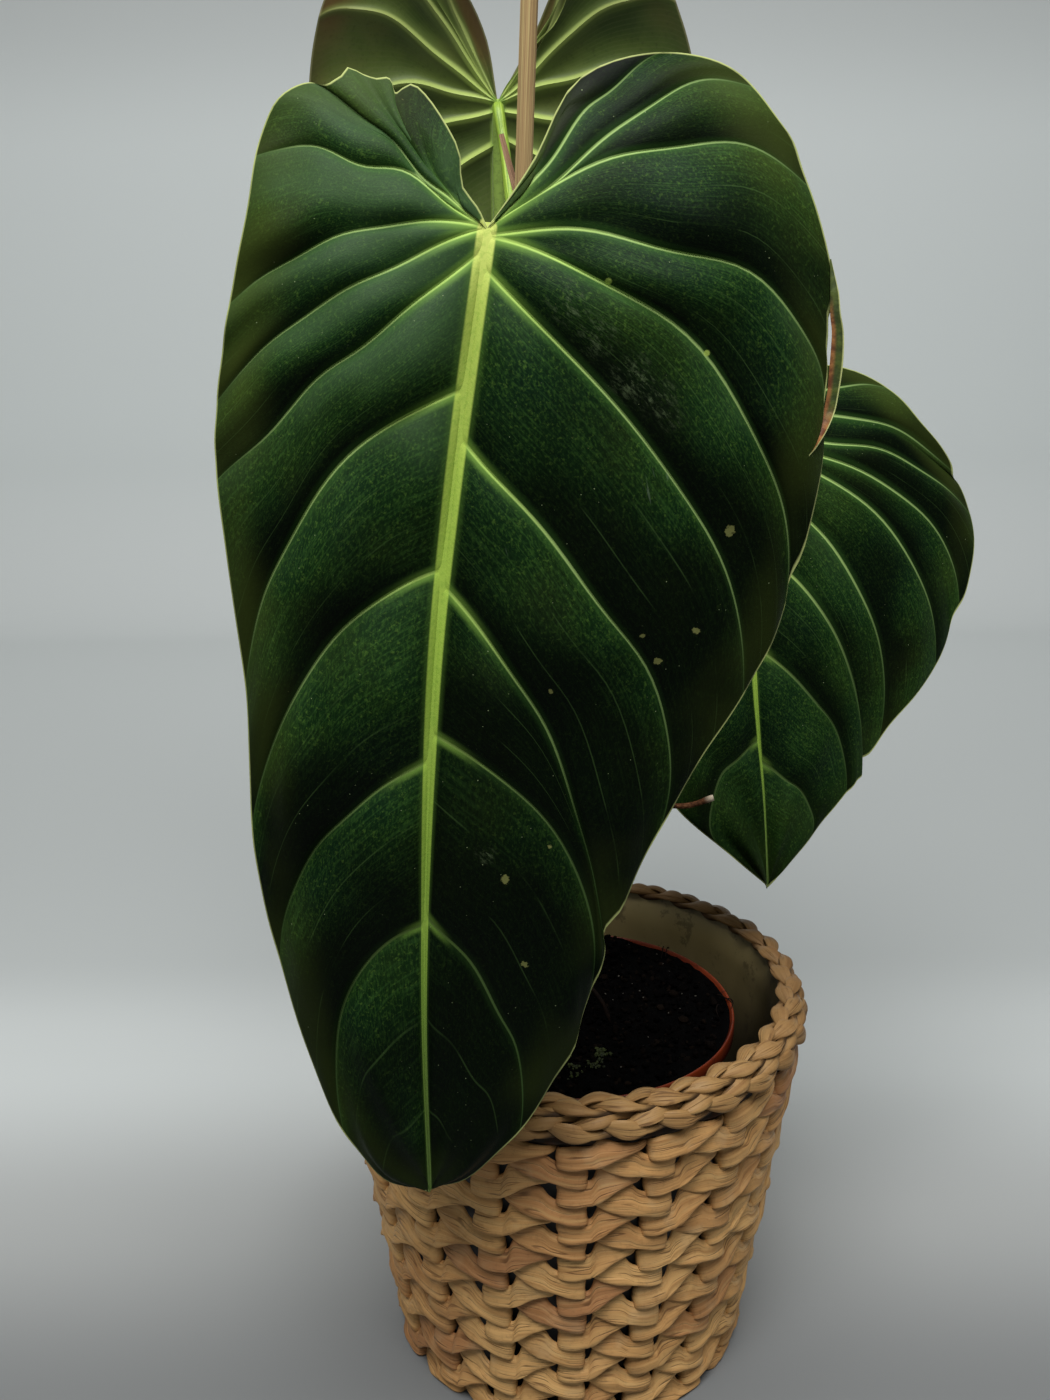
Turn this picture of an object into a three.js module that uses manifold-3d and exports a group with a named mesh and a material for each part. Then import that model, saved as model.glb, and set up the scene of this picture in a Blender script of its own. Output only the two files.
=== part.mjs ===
// A potted black gold philodendron (Philodendron melanochrysum) in its woven basket.
// Millimetres, +Z up. The origin is the centre of the basket's base, on the floor.
// The front leaf faces -Y and +X is to the right of it.
import * as THREE from "three";
import { mergeVertices } from "three/addons/utils/BufferGeometryUtils.js";
import Module from "manifold-3d";

const wasm = await Module();
wasm.setup();

// Clearance between pieces that touch on the real object, and the sides of the large round pieces
const GAP = 0.3;
const ROUND = 51;

// Basket: a cone of woven strands round a welded wire frame
const BASKET = {
  footRadius: 65, // strand surface at the floor
  slope: 0.147, // growth of the radius for each millimetre of height
  crown: 2, // how far the strand crests stand out
  wall: 8.5,
  rowPitch: 17,
  firstGroove: 2.2, // height of the lowest groove between two rows
  wallTop: 130.5,
  uprights: 17,
  firstUprightDeg: -1.2, // measured from the front, towards +X
};
const WIRE = { radius: 1.5, ringRadius: 1.6, inset: 2.2, lowRing: 2.4 };
const BRAID = { centreRadius: 82.6, centreZ: 140.2, halfWidth: 5.4, halfHeight: 8.6 };
const BASE_THICKNESS = 6;
const LINER = { thickness: 0.8, bend: 127, top: 141 }; // upright above the bend

// Nursery pot, 12 cm across, and its soil
const POT = { x: 2, y: 0, rimRadius: 60, height: 125.5, footRadius: 44, wall: 1, lip: 2, lipDrop: 6 };
const DRAIN = { holes: 5, radius: 4, ringRadius: 26 };
const SOIL = { edgeZ: 131, shoulderZ: 132.4, crownZ: 133.2, shoulderShare: 0.6 };

// Stake, ties, stem and roots
const STAKE = { radius: 2.7, foot: [-32, 10, 32], top: [-7.6, 10, 572], point: 12 };
const STEM = {
  radius: 4.8,
  nodeSwell: 0.08,
  nodeLength: 4,
  narrowing: 0.1,
  path: [[-4, 3, 92], [-7, 2, 130], [-14, 2.5, 180], [-17.2, 4.1, 226], [-15.2, 4.1, 275], [-13, 4.2, 318]],
};
const TIE = { heights: [206, 290], width: 3, thickness: 1 };

// Leaves. Each blade has a flat frame of its own: u runs across to the right of someone who
// looks at its upper face, v runs down from the petiole to the tip, and w is its height.
const BLADE_THICKNESS = 1;
const LEAVES = {
  front: {
    petioleEnd: [-23.4, -110, 416.5],
    tip: [-46.4, -104, 130.2],
    yawDeg: 0,
    shape: { trough: 4, troughWidth: 10, droop: 0.002, lobeBack: 0.0035, lobeFrom: 25, bend: 6 },
    midrib: [[0, 0], [-5, 67], [-7, 116], [-5, 215], [0, 287]],
    leftMargin: [
      [0, 0], [-10, -21], [-22, -33], [-38, -33], [-54, -26], [-61, 8], [-67, 50],
      [-64, 85], [-58, 127], [-54, 178], [-43, 223], [-28, 262], [-12, 283], [0, 287],
    ],
    rightMargin: [
      [0, 0], [10, -16], [20, -36], [41, -44], [60, -41], [75, -25], [88, 2], [94, 26],
      [92, 64], [85, 102], [68, 137], [53, 173], [43, 213], [31, 250], [12, 279], [0, 287],
    ],
  },
  right: {
    petioleEnd: [64.5, 42, 340.9],
    tip: [75.9, 18, 173.6],
    yawDeg: 12,
    shape: { trough: 3, troughWidth: 8, droop: 0.0022, lobeBack: 0.004, lobeFrom: 20, bend: 5 },
    midrib: [[0, 0], [-2, 40], [-3, 90], [-1, 135], [0, 169]],
    leftMargin: [
      [0, 0], [-10, -14], [-26, -23], [-45, -20], [-57, 0], [-62, 32],
      [-60, 68], [-51, 104], [-35, 133], [-16, 153], [0, 169],
    ],
    rightMargin: [
      [0, 0], [11, -14], [27, -23], [45, -21], [60, -13], [79, 8], [94, 36],
      [91, 62], [76, 90], [50, 113], [37, 130], [14, 154], [0, 169],
    ],
  },
  back: {
    petioleEnd: [-23, 100, 455.5],
    tip: [-8, 128, 185],
    yawDeg: 180,
    shape: { trough: 3, troughWidth: 10, droop: 0.0018, lobeBack: 0.003, lobeFrom: 25, bend: 6 },
    midrib: [[0, 0], [3, 50], [5, 120], [2, 200], [0, 272]],
    leftMargin: [
      [0, 0], [-14, -21], [-25, -40], [-40, -52], [-55, -47], [-67, -24], [-75, 12],
      [-76, 56], [-70, 104], [-58, 152], [-42, 198], [-22, 240], [0, 272],
    ],
    rightMargin: [
      [0, 0], [3, -24], [12, -42], [31, -54], [50, -50], [63, -27], [71, 8],
      [73, 52], [70, 100], [61, 150], [45, 200], [24, 244], [0, 272],
    ],
  },
};

// What grows from the stem leaves it at a node height and a side, in degrees from the front
// towards +X, and goes on along its path. A petiole ends behind its own blade.
const PETIOLES = {
  front: { node: 232, side: 12, radii: [3.2, 2], path: [[-12, -22, 288], [-14, -55, 350], [-19, -92, 403]] },
  right: { node: 168, side: 118, radii: [2.9, 1.8], path: [[5, 14, 218], [24, 28, 278], [50, 43, 327]] },
  back: { node: 300, side: 150, radii: [3, 1.8], path: [[-11, 28, 356], [-17, 60, 408], [-21, 86, 441]] },
};

// Dry bud scales that stay beside the petioles
const CATAPHYLL = { thickness: 1.2, hugs: 8, narrowing: 0.75 };
const CATAPHYLLS = {
  front: { node: 232, side: -52, width: 6, path: [[-24, -8, 264], [-27, -14, 290], [-26, -18, 312]] },
  right: { node: 168, side: 172, width: 5, path: [[-12, 11, 192], [-9, 17, 214], [-4, 21, 234]] },
  back: { node: 300, side: 84, width: 6, path: [[-6, 7, 340], [-9, 15, 395], [-21, 18, 442]] },
};

// Aerial roots: the first is cut short and sticks out sideways, two hang down to the soil.
const ROOTS = {
  cut: { node: 214, side: 85, radius: 1.2, path: [[5, 1, 217], [28, 1, 215], [42, 0, 215], [52, 0, 218]] },
  left: { node: 186, side: -40, radius: 1.1, path: [[-27, -10, 172], [-31, -14, 152], [-33, -18, 133.2]] },
  right: { node: 152, side: 50, radius: 1, path: [[6, -6, 147], [12, -10, 141], [15, -13, 134.1]] },
};

const COLOURS = {
  strand: [0x9c7648, 0.8],
  wire: [0x3a352f, 0.6],
  liner: [0xc9ccc6, 0.35],
  pot: [0xa04a22, 0.45],
  soil: [0x120e0a, 0.95],
  stake: [0xb08f6c, 0.7],
  tie: [0x2f4a2a, 0.6],
  stem: [0x4d6b2e, 0.5],
  petiole: [0x86a840, 0.45],
  blade: [0x14301c, 0.6],
  scale: [0xb08a66, 0.8],
  root: [0x5a4028, 0.8],
};

const strandRadius = (z) => BASKET.footRadius + BASKET.slope * z;
const vector = (p) => new THREE.Vector3(...p);
const degrees = THREE.MathUtils.degToRad;

// Boolean cuts and joins

function toSolid(geometry) {
  const bare = geometry.index ? geometry.toNonIndexed() : geometry.clone();
  bare.deleteAttribute("normal");
  bare.deleteAttribute("uv");
  const merged = mergeVertices(bare, 1e-4);
  return new wasm.Manifold(
    new wasm.Mesh({
      numProp: 3,
      vertProperties: new Float32Array(merged.attributes.position.array),
      triVerts: new Uint32Array(merged.index.array),
    }),
  );
}

function toGeometry(solid) {
  const mesh = solid.getMesh();
  return new THREE.BufferGeometry()
    .setAttribute("position", new THREE.BufferAttribute(new Float32Array(mesh.vertProperties), 3))
    .setIndex(new THREE.BufferAttribute(new Uint32Array(mesh.triVerts), 1));
}

function join(geometries) {
  return toGeometry(geometries.map(toSolid).reduce((a, b) => a.add(b)));
}

function cut(geometry, cutters) {
  return toGeometry(cutters.map(toSolid).reduce((a, b) => a.subtract(b), toSolid(geometry)));
}

// Basic shapes

// A ring or cup turned about Z from (radius, z) pairs that go round it anticlockwise
function turned(profile, segments) {
  const points = profile.map(([r, z]) => new THREE.Vector2(r, z));
  if (profile[0][0] > 0) points.push(points[0].clone());
  return new THREE.LatheGeometry(points, segments).rotateX(Math.PI / 2);
}

// A straight round bar between two points, with its own radius at each
function bar(from, to, fromRadius, toRadius, sides) {
  const a = vector(from);
  const b = vector(to);
  const along = b.clone().sub(a);
  const turn = new THREE.Quaternion().setFromUnitVectors(
    new THREE.Vector3(0, 1, 0),
    along.clone().normalize(),
  );
  return new THREE.CylinderGeometry(toRadius, fromRadius, along.length(), sides)
    .applyQuaternion(turn)
    .translate((a.x + b.x) / 2, (a.y + b.y) / 2, (a.z + b.z) / 2);
}

// A section swept along a smooth path, with a scale that may change on the way. The section's
// first axis keeps to a facing direction where one is given.
function swept(path, section, steps, scaleAt = () => 1, facing = null) {
  const curve = new THREE.CatmullRomCurve3(path.map(vector));
  const frames = curve.computeFrenetFrames(steps, false);
  frames.tangents.forEach((tangent, i) => {
    if (!facing) return;
    frames.normals[i] = facing.clone().addScaledVector(tangent, -facing.dot(tangent)).normalize();
    frames.binormals[i] = new THREE.Vector3().crossVectors(tangent, frames.normals[i]);
  });
  const sides = section.length;
  const positions = [];
  const index = [];
  for (let i = 0; i <= steps; i++) {
    const centre = curve.getPointAt(i / steps);
    for (const [a, b] of section) {
      const point = centre
        .clone()
        .addScaledVector(frames.normals[i], a * scaleAt(i / steps))
        .addScaledVector(frames.binormals[i], b * scaleAt(i / steps));
      positions.push(point.x, point.y, point.z);
    }
  }
  for (let i = 0; i < steps; i++) {
    for (let j = 0; j < sides; j++) {
      const a = i * sides + j;
      const b = i * sides + ((j + 1) % sides);
      index.push(a, b, b + sides, a, b + sides, a + sides);
    }
  }
  for (let j = 1; j < sides - 1; j++) {
    const last = steps * sides;
    index.push(0, j + 1, j, last, last + j, last + j + 1);
  }
  return new THREE.BufferGeometry()
    .setAttribute("position", new THREE.Float32BufferAttribute(positions, 3))
    .setIndex(index);
}

function roundSection(radius, sides) {
  const corner = (_, i) => {
    const angle = (2 * Math.PI * i) / sides;
    return [radius * Math.cos(angle), radius * Math.sin(angle)];
  };
  return Array.from({ length: sides }, corner);
}

// Basket

function uprightAngle(i) {
  return degrees(BASKET.firstUprightDeg + (360 * i) / BASKET.uprights);
}

// A point on the wire cone at a height, on upright i
function onUpright(i, z) {
  const r = strandRadius(z) - WIRE.inset;
  const angle = uprightAngle(i);
  return [r * Math.sin(angle), -r * Math.cos(angle), z];
}

function basketWeave() {
  const { crown, wall, rowPitch, firstGroove, wallTop, uprights } = BASKET;
  const outer = [[strandRadius(0), 0]];
  for (let z = firstGroove; z < wallTop; z += rowPitch) {
    const top = Math.min(z + rowPitch, wallTop);
    outer.push([strandRadius(z), z]);
    for (const share of [0.25, 0.75]) {
      const crest = z + (top - z) * share;
      outer.push([strandRadius(crest) + crown, crest]);
    }
  }
  outer.push([strandRadius(wallTop), wallTop]);
  const inner = (z) => strandRadius(z) + crown - wall;
  const seat = WIRE.ringRadius + GAP;
  const ring = strandRadius(WIRE.lowRing) - WIRE.inset;
  const notchTop = WIRE.lowRing + seat;
  const notch = [
    [ring - seat, 0],
    [ring - seat, notchTop],
    [ring + seat, notchTop],
    [ring + seat, 0],
  ];
  const profile = [...notch, ...outer, [inner(wallTop), wallTop], [inner(0), 0]];
  const channels = Array.from({ length: uprights }, (_, i) =>
    bar(onUpright(i, 1), onUpright(i, wallTop + 2), WIRE.radius + GAP, WIRE.radius + GAP, 6),
  );
  return cut(turned(profile, ROUND), channels);
}

function wireFrame() {
  const highRing = BASKET.wallTop + GAP + WIRE.ringRadius;
  const rings = [WIRE.lowRing, highRing].map((z) =>
    new THREE.TorusGeometry(strandRadius(z) - WIRE.inset, WIRE.ringRadius, 6, ROUND).translate(0, 0, z),
  );
  const uprights = Array.from({ length: BASKET.uprights }, (_, i) =>
    bar(onUpright(i, WIRE.lowRing), onUpright(i, highRing), WIRE.radius, WIRE.radius, 6),
  );
  return join([...rings, ...uprights]);
}

// The plaited rim, hollowed underneath where it sits over the top wire ring
function basketBraid() {
  const { centreRadius, centreZ, halfWidth, halfHeight } = BRAID;
  const ringZ = BASKET.wallTop + GAP + WIRE.ringRadius;
  const ring = strandRadius(ringZ) - WIRE.inset;
  const seat = WIRE.ringRadius + GAP;
  const foot = BASKET.wallTop + GAP;
  const profile = [
    [ring - seat, foot],
    [ring - seat, ringZ + seat],
    [ring + seat, ringZ + seat],
    [ring + seat, foot],
  ];
  const [fromDegree, toDegree, stepDegrees] = [-50, 230, 28];
  for (let degree = fromDegree; degree <= toDegree; degree += stepDegrees) {
    const angle = degrees(degree);
    const r = centreRadius + halfWidth * Math.cos(angle);
    const z = centreZ + halfHeight * Math.sin(angle);
    profile.push([r, Math.max(z, foot)]);
  }
  return turned(profile, ROUND);
}

function basketBase() {
  const radius = strandRadius(0) + BASKET.crown - BASKET.wall - GAP;
  return new THREE.CylinderGeometry(radius, radius, BASE_THICKNESS, ROUND)
    .rotateX(Math.PI / 2)
    .translate(0, 0, BASE_THICKNESS / 2);
}

function basketLiner() {
  const floor = BASE_THICKNESS + GAP;
  const outer = (z) => strandRadius(Math.min(z, LINER.bend)) + BASKET.crown - BASKET.wall - GAP;
  const inner = (z) => outer(z) - LINER.thickness;
  return turned(
    [
      [0, floor],
      [outer(floor), floor],
      [outer(LINER.bend), LINER.bend],
      [outer(LINER.top), LINER.top],
      [inner(LINER.top), LINER.top],
      [inner(LINER.bend), LINER.bend],
      [inner(floor + LINER.thickness), floor + LINER.thickness],
      [0, floor + LINER.thickness],
    ],
    ROUND,
  );
}

// Nursery pot and soil

const potFoot = BASE_THICKNESS + GAP + LINER.thickness + GAP;
const potRim = potFoot + POT.height;
const lipBase = potRim - POT.lipDrop;
const potRadius = (z) =>
  POT.footRadius + ((POT.rimRadius - POT.lip - POT.footRadius) * (z - potFoot)) / POT.height;

// The inside of the pot widens a little more in its lip.
function potInside(z) {
  const wall = potRadius(Math.min(z, lipBase));
  const lipShare = Math.max(0, z - lipBase) / POT.lipDrop;
  return wall + (POT.rimRadius - potRadius(lipBase)) * lipShare - POT.wall;
}

function nurseryPot() {
  const floor = potFoot + POT.wall;
  const cup = turned(
    [
      [0, potFoot],
      [POT.footRadius, potFoot],
      [potRadius(lipBase), lipBase],
      [POT.rimRadius, lipBase],
      [POT.rimRadius, potRim],
      [potInside(potRim), potRim],
      [potInside(lipBase), lipBase],
      [potInside(potFoot), floor],
      [0, floor],
    ],
    ROUND,
  );
  const holes = Array.from({ length: DRAIN.holes }, (_, i) => {
    const angle = (2 * Math.PI * i) / DRAIN.holes;
    const x = DRAIN.ringRadius * Math.cos(angle);
    const y = DRAIN.ringRadius * Math.sin(angle);
    return bar([x, y, potFoot - 2], [x, y, floor + 2], DRAIN.radius, DRAIN.radius, 10);
  });
  return cut(cup, holes).translate(POT.x, POT.y, 0);
}

function pottingSoil() {
  const floor = potFoot + POT.wall + GAP;
  const edge = (z) => potInside(z) - GAP;
  const body = turned(
    [
      [0, floor],
      [edge(floor), floor],
      [edge(lipBase), lipBase],
      [edge(SOIL.edgeZ), SOIL.edgeZ],
      [edge(SOIL.edgeZ) * SOIL.shoulderShare, SOIL.shoulderZ],
      [0, SOIL.crownZ],
    ],
    ROUND,
  ).translate(POT.x, POT.y, 0);
  const stakeHole = STAKE.radius + GAP;
  const stakeCutter = bar(stakeAt(STAKE.foot[2] - 2), stakeAt(SOIL.crownZ + 30), stakeHole, stakeHole, 12);
  const stemFoot = STEM.path[0];
  const below = [stemFoot[0], stemFoot[1], stemFoot[2] - 2];
  const stemHole = STEM.radius * (1 + STEM.nodeSwell) + GAP;
  const stemCutter = swept([below, ...STEM.path.slice(0, 3)], roundSection(stemHole, 12), 10);
  return cut(body, [stakeCutter, stemCutter]);
}

// Stake, ties and stem

function stakeAt(z) {
  const share = (z - STAKE.foot[2]) / (STAKE.top[2] - STAKE.foot[2]);
  return STAKE.foot.map((low, i) => low + (STAKE.top[i] - low) * share);
}

function stake() {
  const pointTop = stakeAt(STAKE.foot[2] + STAKE.point);
  const shaft = bar(pointTop, STAKE.top, STAKE.radius, STAKE.radius, 12);
  const point = bar(STAKE.foot, pointTop, STAKE.radius / 4, STAKE.radius, 12);
  return join([shaft, point]);
}

const stemCurve = new THREE.CatmullRomCurve3(STEM.path.map(vector));
const stemNodes = Object.values(PETIOLES).map((petiole) => petiole.node);

// The stem narrows upwards and swells at each node.
function stemRadius(z) {
  const [low, high] = [STEM.path[0][2], STEM.path.at(-1)[2]];
  const taper = 1 - (STEM.narrowing * (z - low)) / (high - low);
  const swell = Math.max(...stemNodes.map((node) => Math.exp(-(((z - node) / STEM.nodeLength) ** 2))));
  return STEM.radius * taper * (1 + STEM.nodeSwell * swell);
}

function stemAt(z) {
  let low = 0;
  let high = 1;
  for (let i = 0; i < 30; i++) {
    const middle = (low + high) / 2;
    if (stemCurve.getPointAt(middle).z < z) low = middle;
    else high = middle;
  }
  return stemCurve.getPointAt(low);
}

// A point beside the stem, at a clearance from its skin
function besideStem(z, side, clearance) {
  const r = stemRadius(z) + clearance;
  const p = stemAt(z);
  return [p.x + r * Math.sin(degrees(side)), p.y - r * Math.cos(degrees(side)), z];
}

function stem() {
  const heightAt = (t) => stemCurve.getPointAt(t).z;
  return swept(STEM.path, roundSection(1, 8), 40, (t) => stemRadius(heightAt(t)));
}

// A soft band that goes once round the stem and the stake together
function tie(z) {
  const a = stemAt(z);
  const b = vector(stakeAt(z));
  const along = Math.atan2(b.y - a.y, b.x - a.x);
  const half = Math.hypot(b.x - a.x, b.y - a.y) / 2;
  const loop = (grow) => {
    const path = new THREE.Path();
    path.absarc(-half, 0, stemRadius(z) + grow, Math.PI / 2, (3 * Math.PI) / 2, false);
    path.absarc(half, 0, STAKE.radius + grow, -Math.PI / 2, Math.PI / 2, false);
    path.closePath();
    return path.getPoints(6);
  };
  const band = new THREE.Shape(loop(GAP + TIE.thickness));
  band.holes.push(new THREE.Path(loop(GAP).reverse()));
  return new THREE.ExtrudeGeometry(band, { depth: TIE.width, bevelEnabled: false })
    .translate(0, 0, -TIE.width / 2)
    .rotateZ(along)
    .translate((a.x + b.x) / 2, (a.y + b.y) / 2, z);
}

// Leaves

function leafFrame(leaf) {
  const origin = vector(leaf.petioleEnd);
  const tip = vector(leaf.tip);
  const down = tip.clone().sub(origin).normalize();
  const yaw = degrees(leaf.yawDeg);
  const level = new THREE.Vector3(Math.cos(yaw), Math.sin(yaw), 0);
  const across = level.addScaledVector(down, -level.dot(down)).normalize();
  const out = new THREE.Vector3().crossVectors(down, across);
  return { origin, down, across, out, length: tip.distanceTo(origin) };
}

// Height of the blade's middle surface: a valley at the midrib, halves that fall away to the
// margin, lobes that lean back and a bow along the midrib
function bladeHeight(shape, length, u, v) {
  const valley = shape.trough * (1 - Math.exp(-Math.abs(u) / shape.troughWidth));
  const droop = shape.droop * u * u;
  const lobes = shape.lobeBack * Math.max(0, shape.lobeFrom - v) ** 2;
  const bow = (shape.bend * 4 * v * (length - v)) / length ** 2;
  return valley - droop - lobes + bow;
}

function bladePoint(leaf, frame, u, v, lift) {
  const w = bladeHeight(leaf.shape, frame.length, u, v) + lift;
  return frame.origin
    .clone()
    .addScaledVector(frame.across, u)
    .addScaledVector(frame.down, v)
    .addScaledVector(frame.out, w);
}

// One closed sheet: rows run from the midrib out to the margin on either side, on both faces.
function blade(leaf) {
  const frame = leafFrame(leaf);
  const flat = (points) => new THREE.CatmullRomCurve3(points.map(([u, v]) => new THREE.Vector3(u, v, 0)));
  const midrib = flat(leaf.midrib);
  const rows = 22;
  const shares = [0, 0.12, 0.4, 0.72, 1]; // columns, from the midrib out
  const lobeRows = 0.3; // share of the margin whose rows start at the petiole
  const positions = [];
  const index = [];
  for (const [margin, handed] of [[leaf.rightMargin, 1], [leaf.leftMargin, -1]]) {
    const edge = flat(margin);
    for (const face of [1, -1]) {
      const first = positions.length / 3;
      for (let i = 0; i <= rows; i++) {
        const end = edge.getPointAt(i / rows);
        const start = midrib.getPointAt(Math.max(0, (i / rows - lobeRows) / (1 - lobeRows)));
        for (const share of shares) {
          const u = start.x + (end.x - start.x) * share;
          const v = start.y + (end.y - start.y) * share;
          const p = bladePoint(leaf, frame, u, v, (face * BLADE_THICKNESS) / 2);
          positions.push(p.x, p.y, p.z);
        }
      }
      for (let i = 0; i < rows; i++) {
        for (let j = 0; j < shares.length - 1; j++) {
          const a = first + i * shares.length + j;
          const b = a + shares.length;
          const quad = face * handed > 0 ? [a, b, b + 1, a, b + 1, a + 1] : [a, b + 1, b, a, a + 1, b + 1];
          index.push(...quad);
        }
      }
    }
    // The strip that joins the two faces along the margin
    const faceSize = (rows + 1) * shares.length;
    const lower = positions.length / 3 - faceSize;
    const upper = lower - faceSize;
    for (let i = 0; i < rows; i++) {
      const k = (i + 1) * shares.length - 1;
      const [a, b] = [upper + k, upper + k + shares.length];
      const [c, d] = [lower + k, lower + k + shares.length];
      index.push(...(handed > 0 ? [a, b, d, a, d, c] : [a, d, b, a, c, d]));
    }
  }
  return withoutSlivers(positions, index);
}

// Merges vertices that lie together and drops the triangles that close up
function withoutSlivers(positions, index) {
  const merged = mergeVertices(
    new THREE.BufferGeometry()
      .setAttribute("position", new THREE.Float32BufferAttribute(positions, 3))
      .setIndex(index),
    1e-3,
  );
  const kept = [];
  const all = merged.index.array;
  for (let i = 0; i < all.length; i += 3) {
    const [a, b, c] = [all[i], all[i + 1], all[i + 2]];
    if (a !== b && b !== c && c !== a) kept.push(a, b, c);
  }
  return merged.setIndex(kept);
}

// The petiole hugs the stem at its foot, where the flats of the two skins stay a little apart,
// and its path goes on to a point just under the blade, at right angles to it.
function petiole(name) {
  const leaf = LEAVES[name];
  const { node, side, radii, path } = PETIOLES[name];
  const [foot, end] = radii;
  const frame = leafFrame(leaf);
  const under = (distance) => bladePoint(leaf, frame, 0, end, -distance).toArray();
  const touching = BLADE_THICKNESS / 2 + 2 * GAP;
  const full = [
    besideStem(node, side, foot),
    besideStem(node + 3 * foot, side, foot + GAP),
    ...path,
    under(touching + 6),
    under(touching),
  ];
  return swept(full, roundSection(1, 8), 18, (t) => foot + (end - foot) * t);
}

// A dry scale lies flat to the stem at its foot and tapers to its tip.
function cataphyll({ node, side, width, path }) {
  const half = CATAPHYLL.thickness / 2;
  const section = [[-half, 0], [0, -width / 2], [half, 0], [0, width / 2]];
  const outward = new THREE.Vector3(Math.sin(degrees(side)), -Math.cos(degrees(side)), 0);
  const foot = besideStem(node, side, half + GAP);
  const heel = besideStem(node + CATAPHYLL.hugs, side, half + 2 * GAP);
  return swept([foot, heel, ...path], section, 14, (t) => 1 - CATAPHYLL.narrowing * t ** 2, outward);
}

function root({ node, side, radius, path }) {
  const full = [besideStem(node, side, radius / 2 + GAP), ...path];
  return swept(full, roundSection(radius, 6), 12, (t) => 1 - 0.3 * t);
}

const philodendron = new THREE.Group();

function add(name, geometry, [color, roughness], metalness = 0) {
  const mesh = new THREE.Mesh(geometry, new THREE.MeshStandardMaterial({ color, roughness, metalness }));
  mesh.name = name;
  philodendron.add(mesh);
}

add("basket_weave", basketWeave(), COLOURS.strand);
add("basket_braid", basketBraid(), COLOURS.strand);
add("basket_base", basketBase(), COLOURS.strand);
add("wire_frame", wireFrame(), COLOURS.wire, 0.6);
add("basket_liner", basketLiner(), COLOURS.liner);
add("nursery_pot", nurseryPot(), COLOURS.pot);
add("potting_soil", pottingSoil(), COLOURS.soil);
add("stake", stake(), COLOURS.stake);
add("stem", stem(), COLOURS.stem);
TIE.heights.forEach((z, i) => add(["tie_lower", "tie_upper"][i], tie(z), COLOURS.tie));
for (const name of Object.keys(LEAVES)) {
  add("petiole_" + name, petiole(name), COLOURS.petiole);
  add("blade_" + name, blade(LEAVES[name]), COLOURS.blade);
  add("cataphyll_" + name, cataphyll(CATAPHYLLS[name]), COLOURS.scale);
}
for (const [name, shape] of Object.entries(ROOTS)) add("aerial_root_" + name, root(shape), COLOURS.root);

export default philodendron;
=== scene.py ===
# A potted black gold philodendron in its woven basket, finished round the fixed CAD frame.
# Millimetres until a mesh is made, +Z up. The front leaf faces -Y and +X is to its right.
import math
from types import SimpleNamespace

import bmesh
import bpy
import numpy as np
from mathutils import Matrix


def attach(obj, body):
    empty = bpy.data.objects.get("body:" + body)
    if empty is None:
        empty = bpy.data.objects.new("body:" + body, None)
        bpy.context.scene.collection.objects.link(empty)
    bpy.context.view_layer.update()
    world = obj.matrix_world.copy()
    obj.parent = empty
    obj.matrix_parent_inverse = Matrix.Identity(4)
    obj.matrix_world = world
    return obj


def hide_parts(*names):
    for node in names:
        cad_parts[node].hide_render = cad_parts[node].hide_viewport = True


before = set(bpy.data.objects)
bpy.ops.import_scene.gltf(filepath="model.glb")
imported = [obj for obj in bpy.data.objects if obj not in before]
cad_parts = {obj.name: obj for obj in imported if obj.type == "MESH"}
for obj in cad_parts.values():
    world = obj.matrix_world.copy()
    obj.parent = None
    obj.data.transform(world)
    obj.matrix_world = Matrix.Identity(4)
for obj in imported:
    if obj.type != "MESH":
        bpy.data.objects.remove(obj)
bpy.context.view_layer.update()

BODY = "root"
MM = 0.001
UP = np.array([0.0, 0.0, 1.0])

# The camera of the photograph
CAMERA = {"place": (-15.25, -496.95, 426.59), "down_deg": 18.97, "roll_deg": -0.58, "focal_px": 1500}
PHOTO_HEIGHT = 1400
SENSOR_MM = 36
# The light over the front, in metres
KEY_LIGHT = {"place": (-0.05, -0.52, 1.35), "target": (0, 0, 0.3), "size": (1.0, 0.8), "watts": 26.5}

# Basket, as in the CAD. STRAND_WAY below is drawn for cells of this width, and its turn round the
# upright isn't stretched.
BASKET = {"foot_radius": 65, "slope": 0.147, "uprights": 17, "first_upright_deg": -1.2, "height": 131}
WEAVE = {"top_hole": 129.7, "row_pitch": 17.04, "rows": 8, "cell": 26, "turn": 3, "steps_per_span": 3}
# Beyond these heights the first and the last row are squeezed into the wall
WALL_SOFT = {"low": 6.0, "high": 124.0}
# Each plait of the rim: its radius and height, how it leans, how often its strands cross over, how
# far they go to each side, and half their width. PLAIT_DEEP is how far they dip.
PLAITS = [
    {"radius": 81.4, "z": 144.8, "lean_deg": -85, "waves": 11, "wide": 3.0, "half": 2.6},
    {"radius": 85.0, "z": 139.6, "lean_deg": -30, "waves": 10, "wide": 2.8, "half": 2.75},
]
PLAIT_DEEP, PLAIT_THICK = 1.4, 1.15
BASE = {"radius": 57.6, "thickness": 5.6, "turns": 6, "pitches": 6.45}
LINER = {
    "floor": 6.4, "bend": 127, "flare_from": 133, "top": 144.2, "flare": 3.8, "thickness": 0.6, "inset": 6.9,
}

# Nursery pot and soil
POT = {
    "x": 2, "foot_z": 7.4, "height": 125.5, "foot_radius": 44, "rim_radius": 60,
    "wall": 1, "lip": 2, "lip_drop": 6,
}
DRAIN = {"holes": 5, "radius": 4, "ring_radius": 26}
SOIL = {"floor": 8.8, "edge_z": 132.2, "crown_z": 133.2, "gap": 0.3, "crumbs": 1300}

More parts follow.
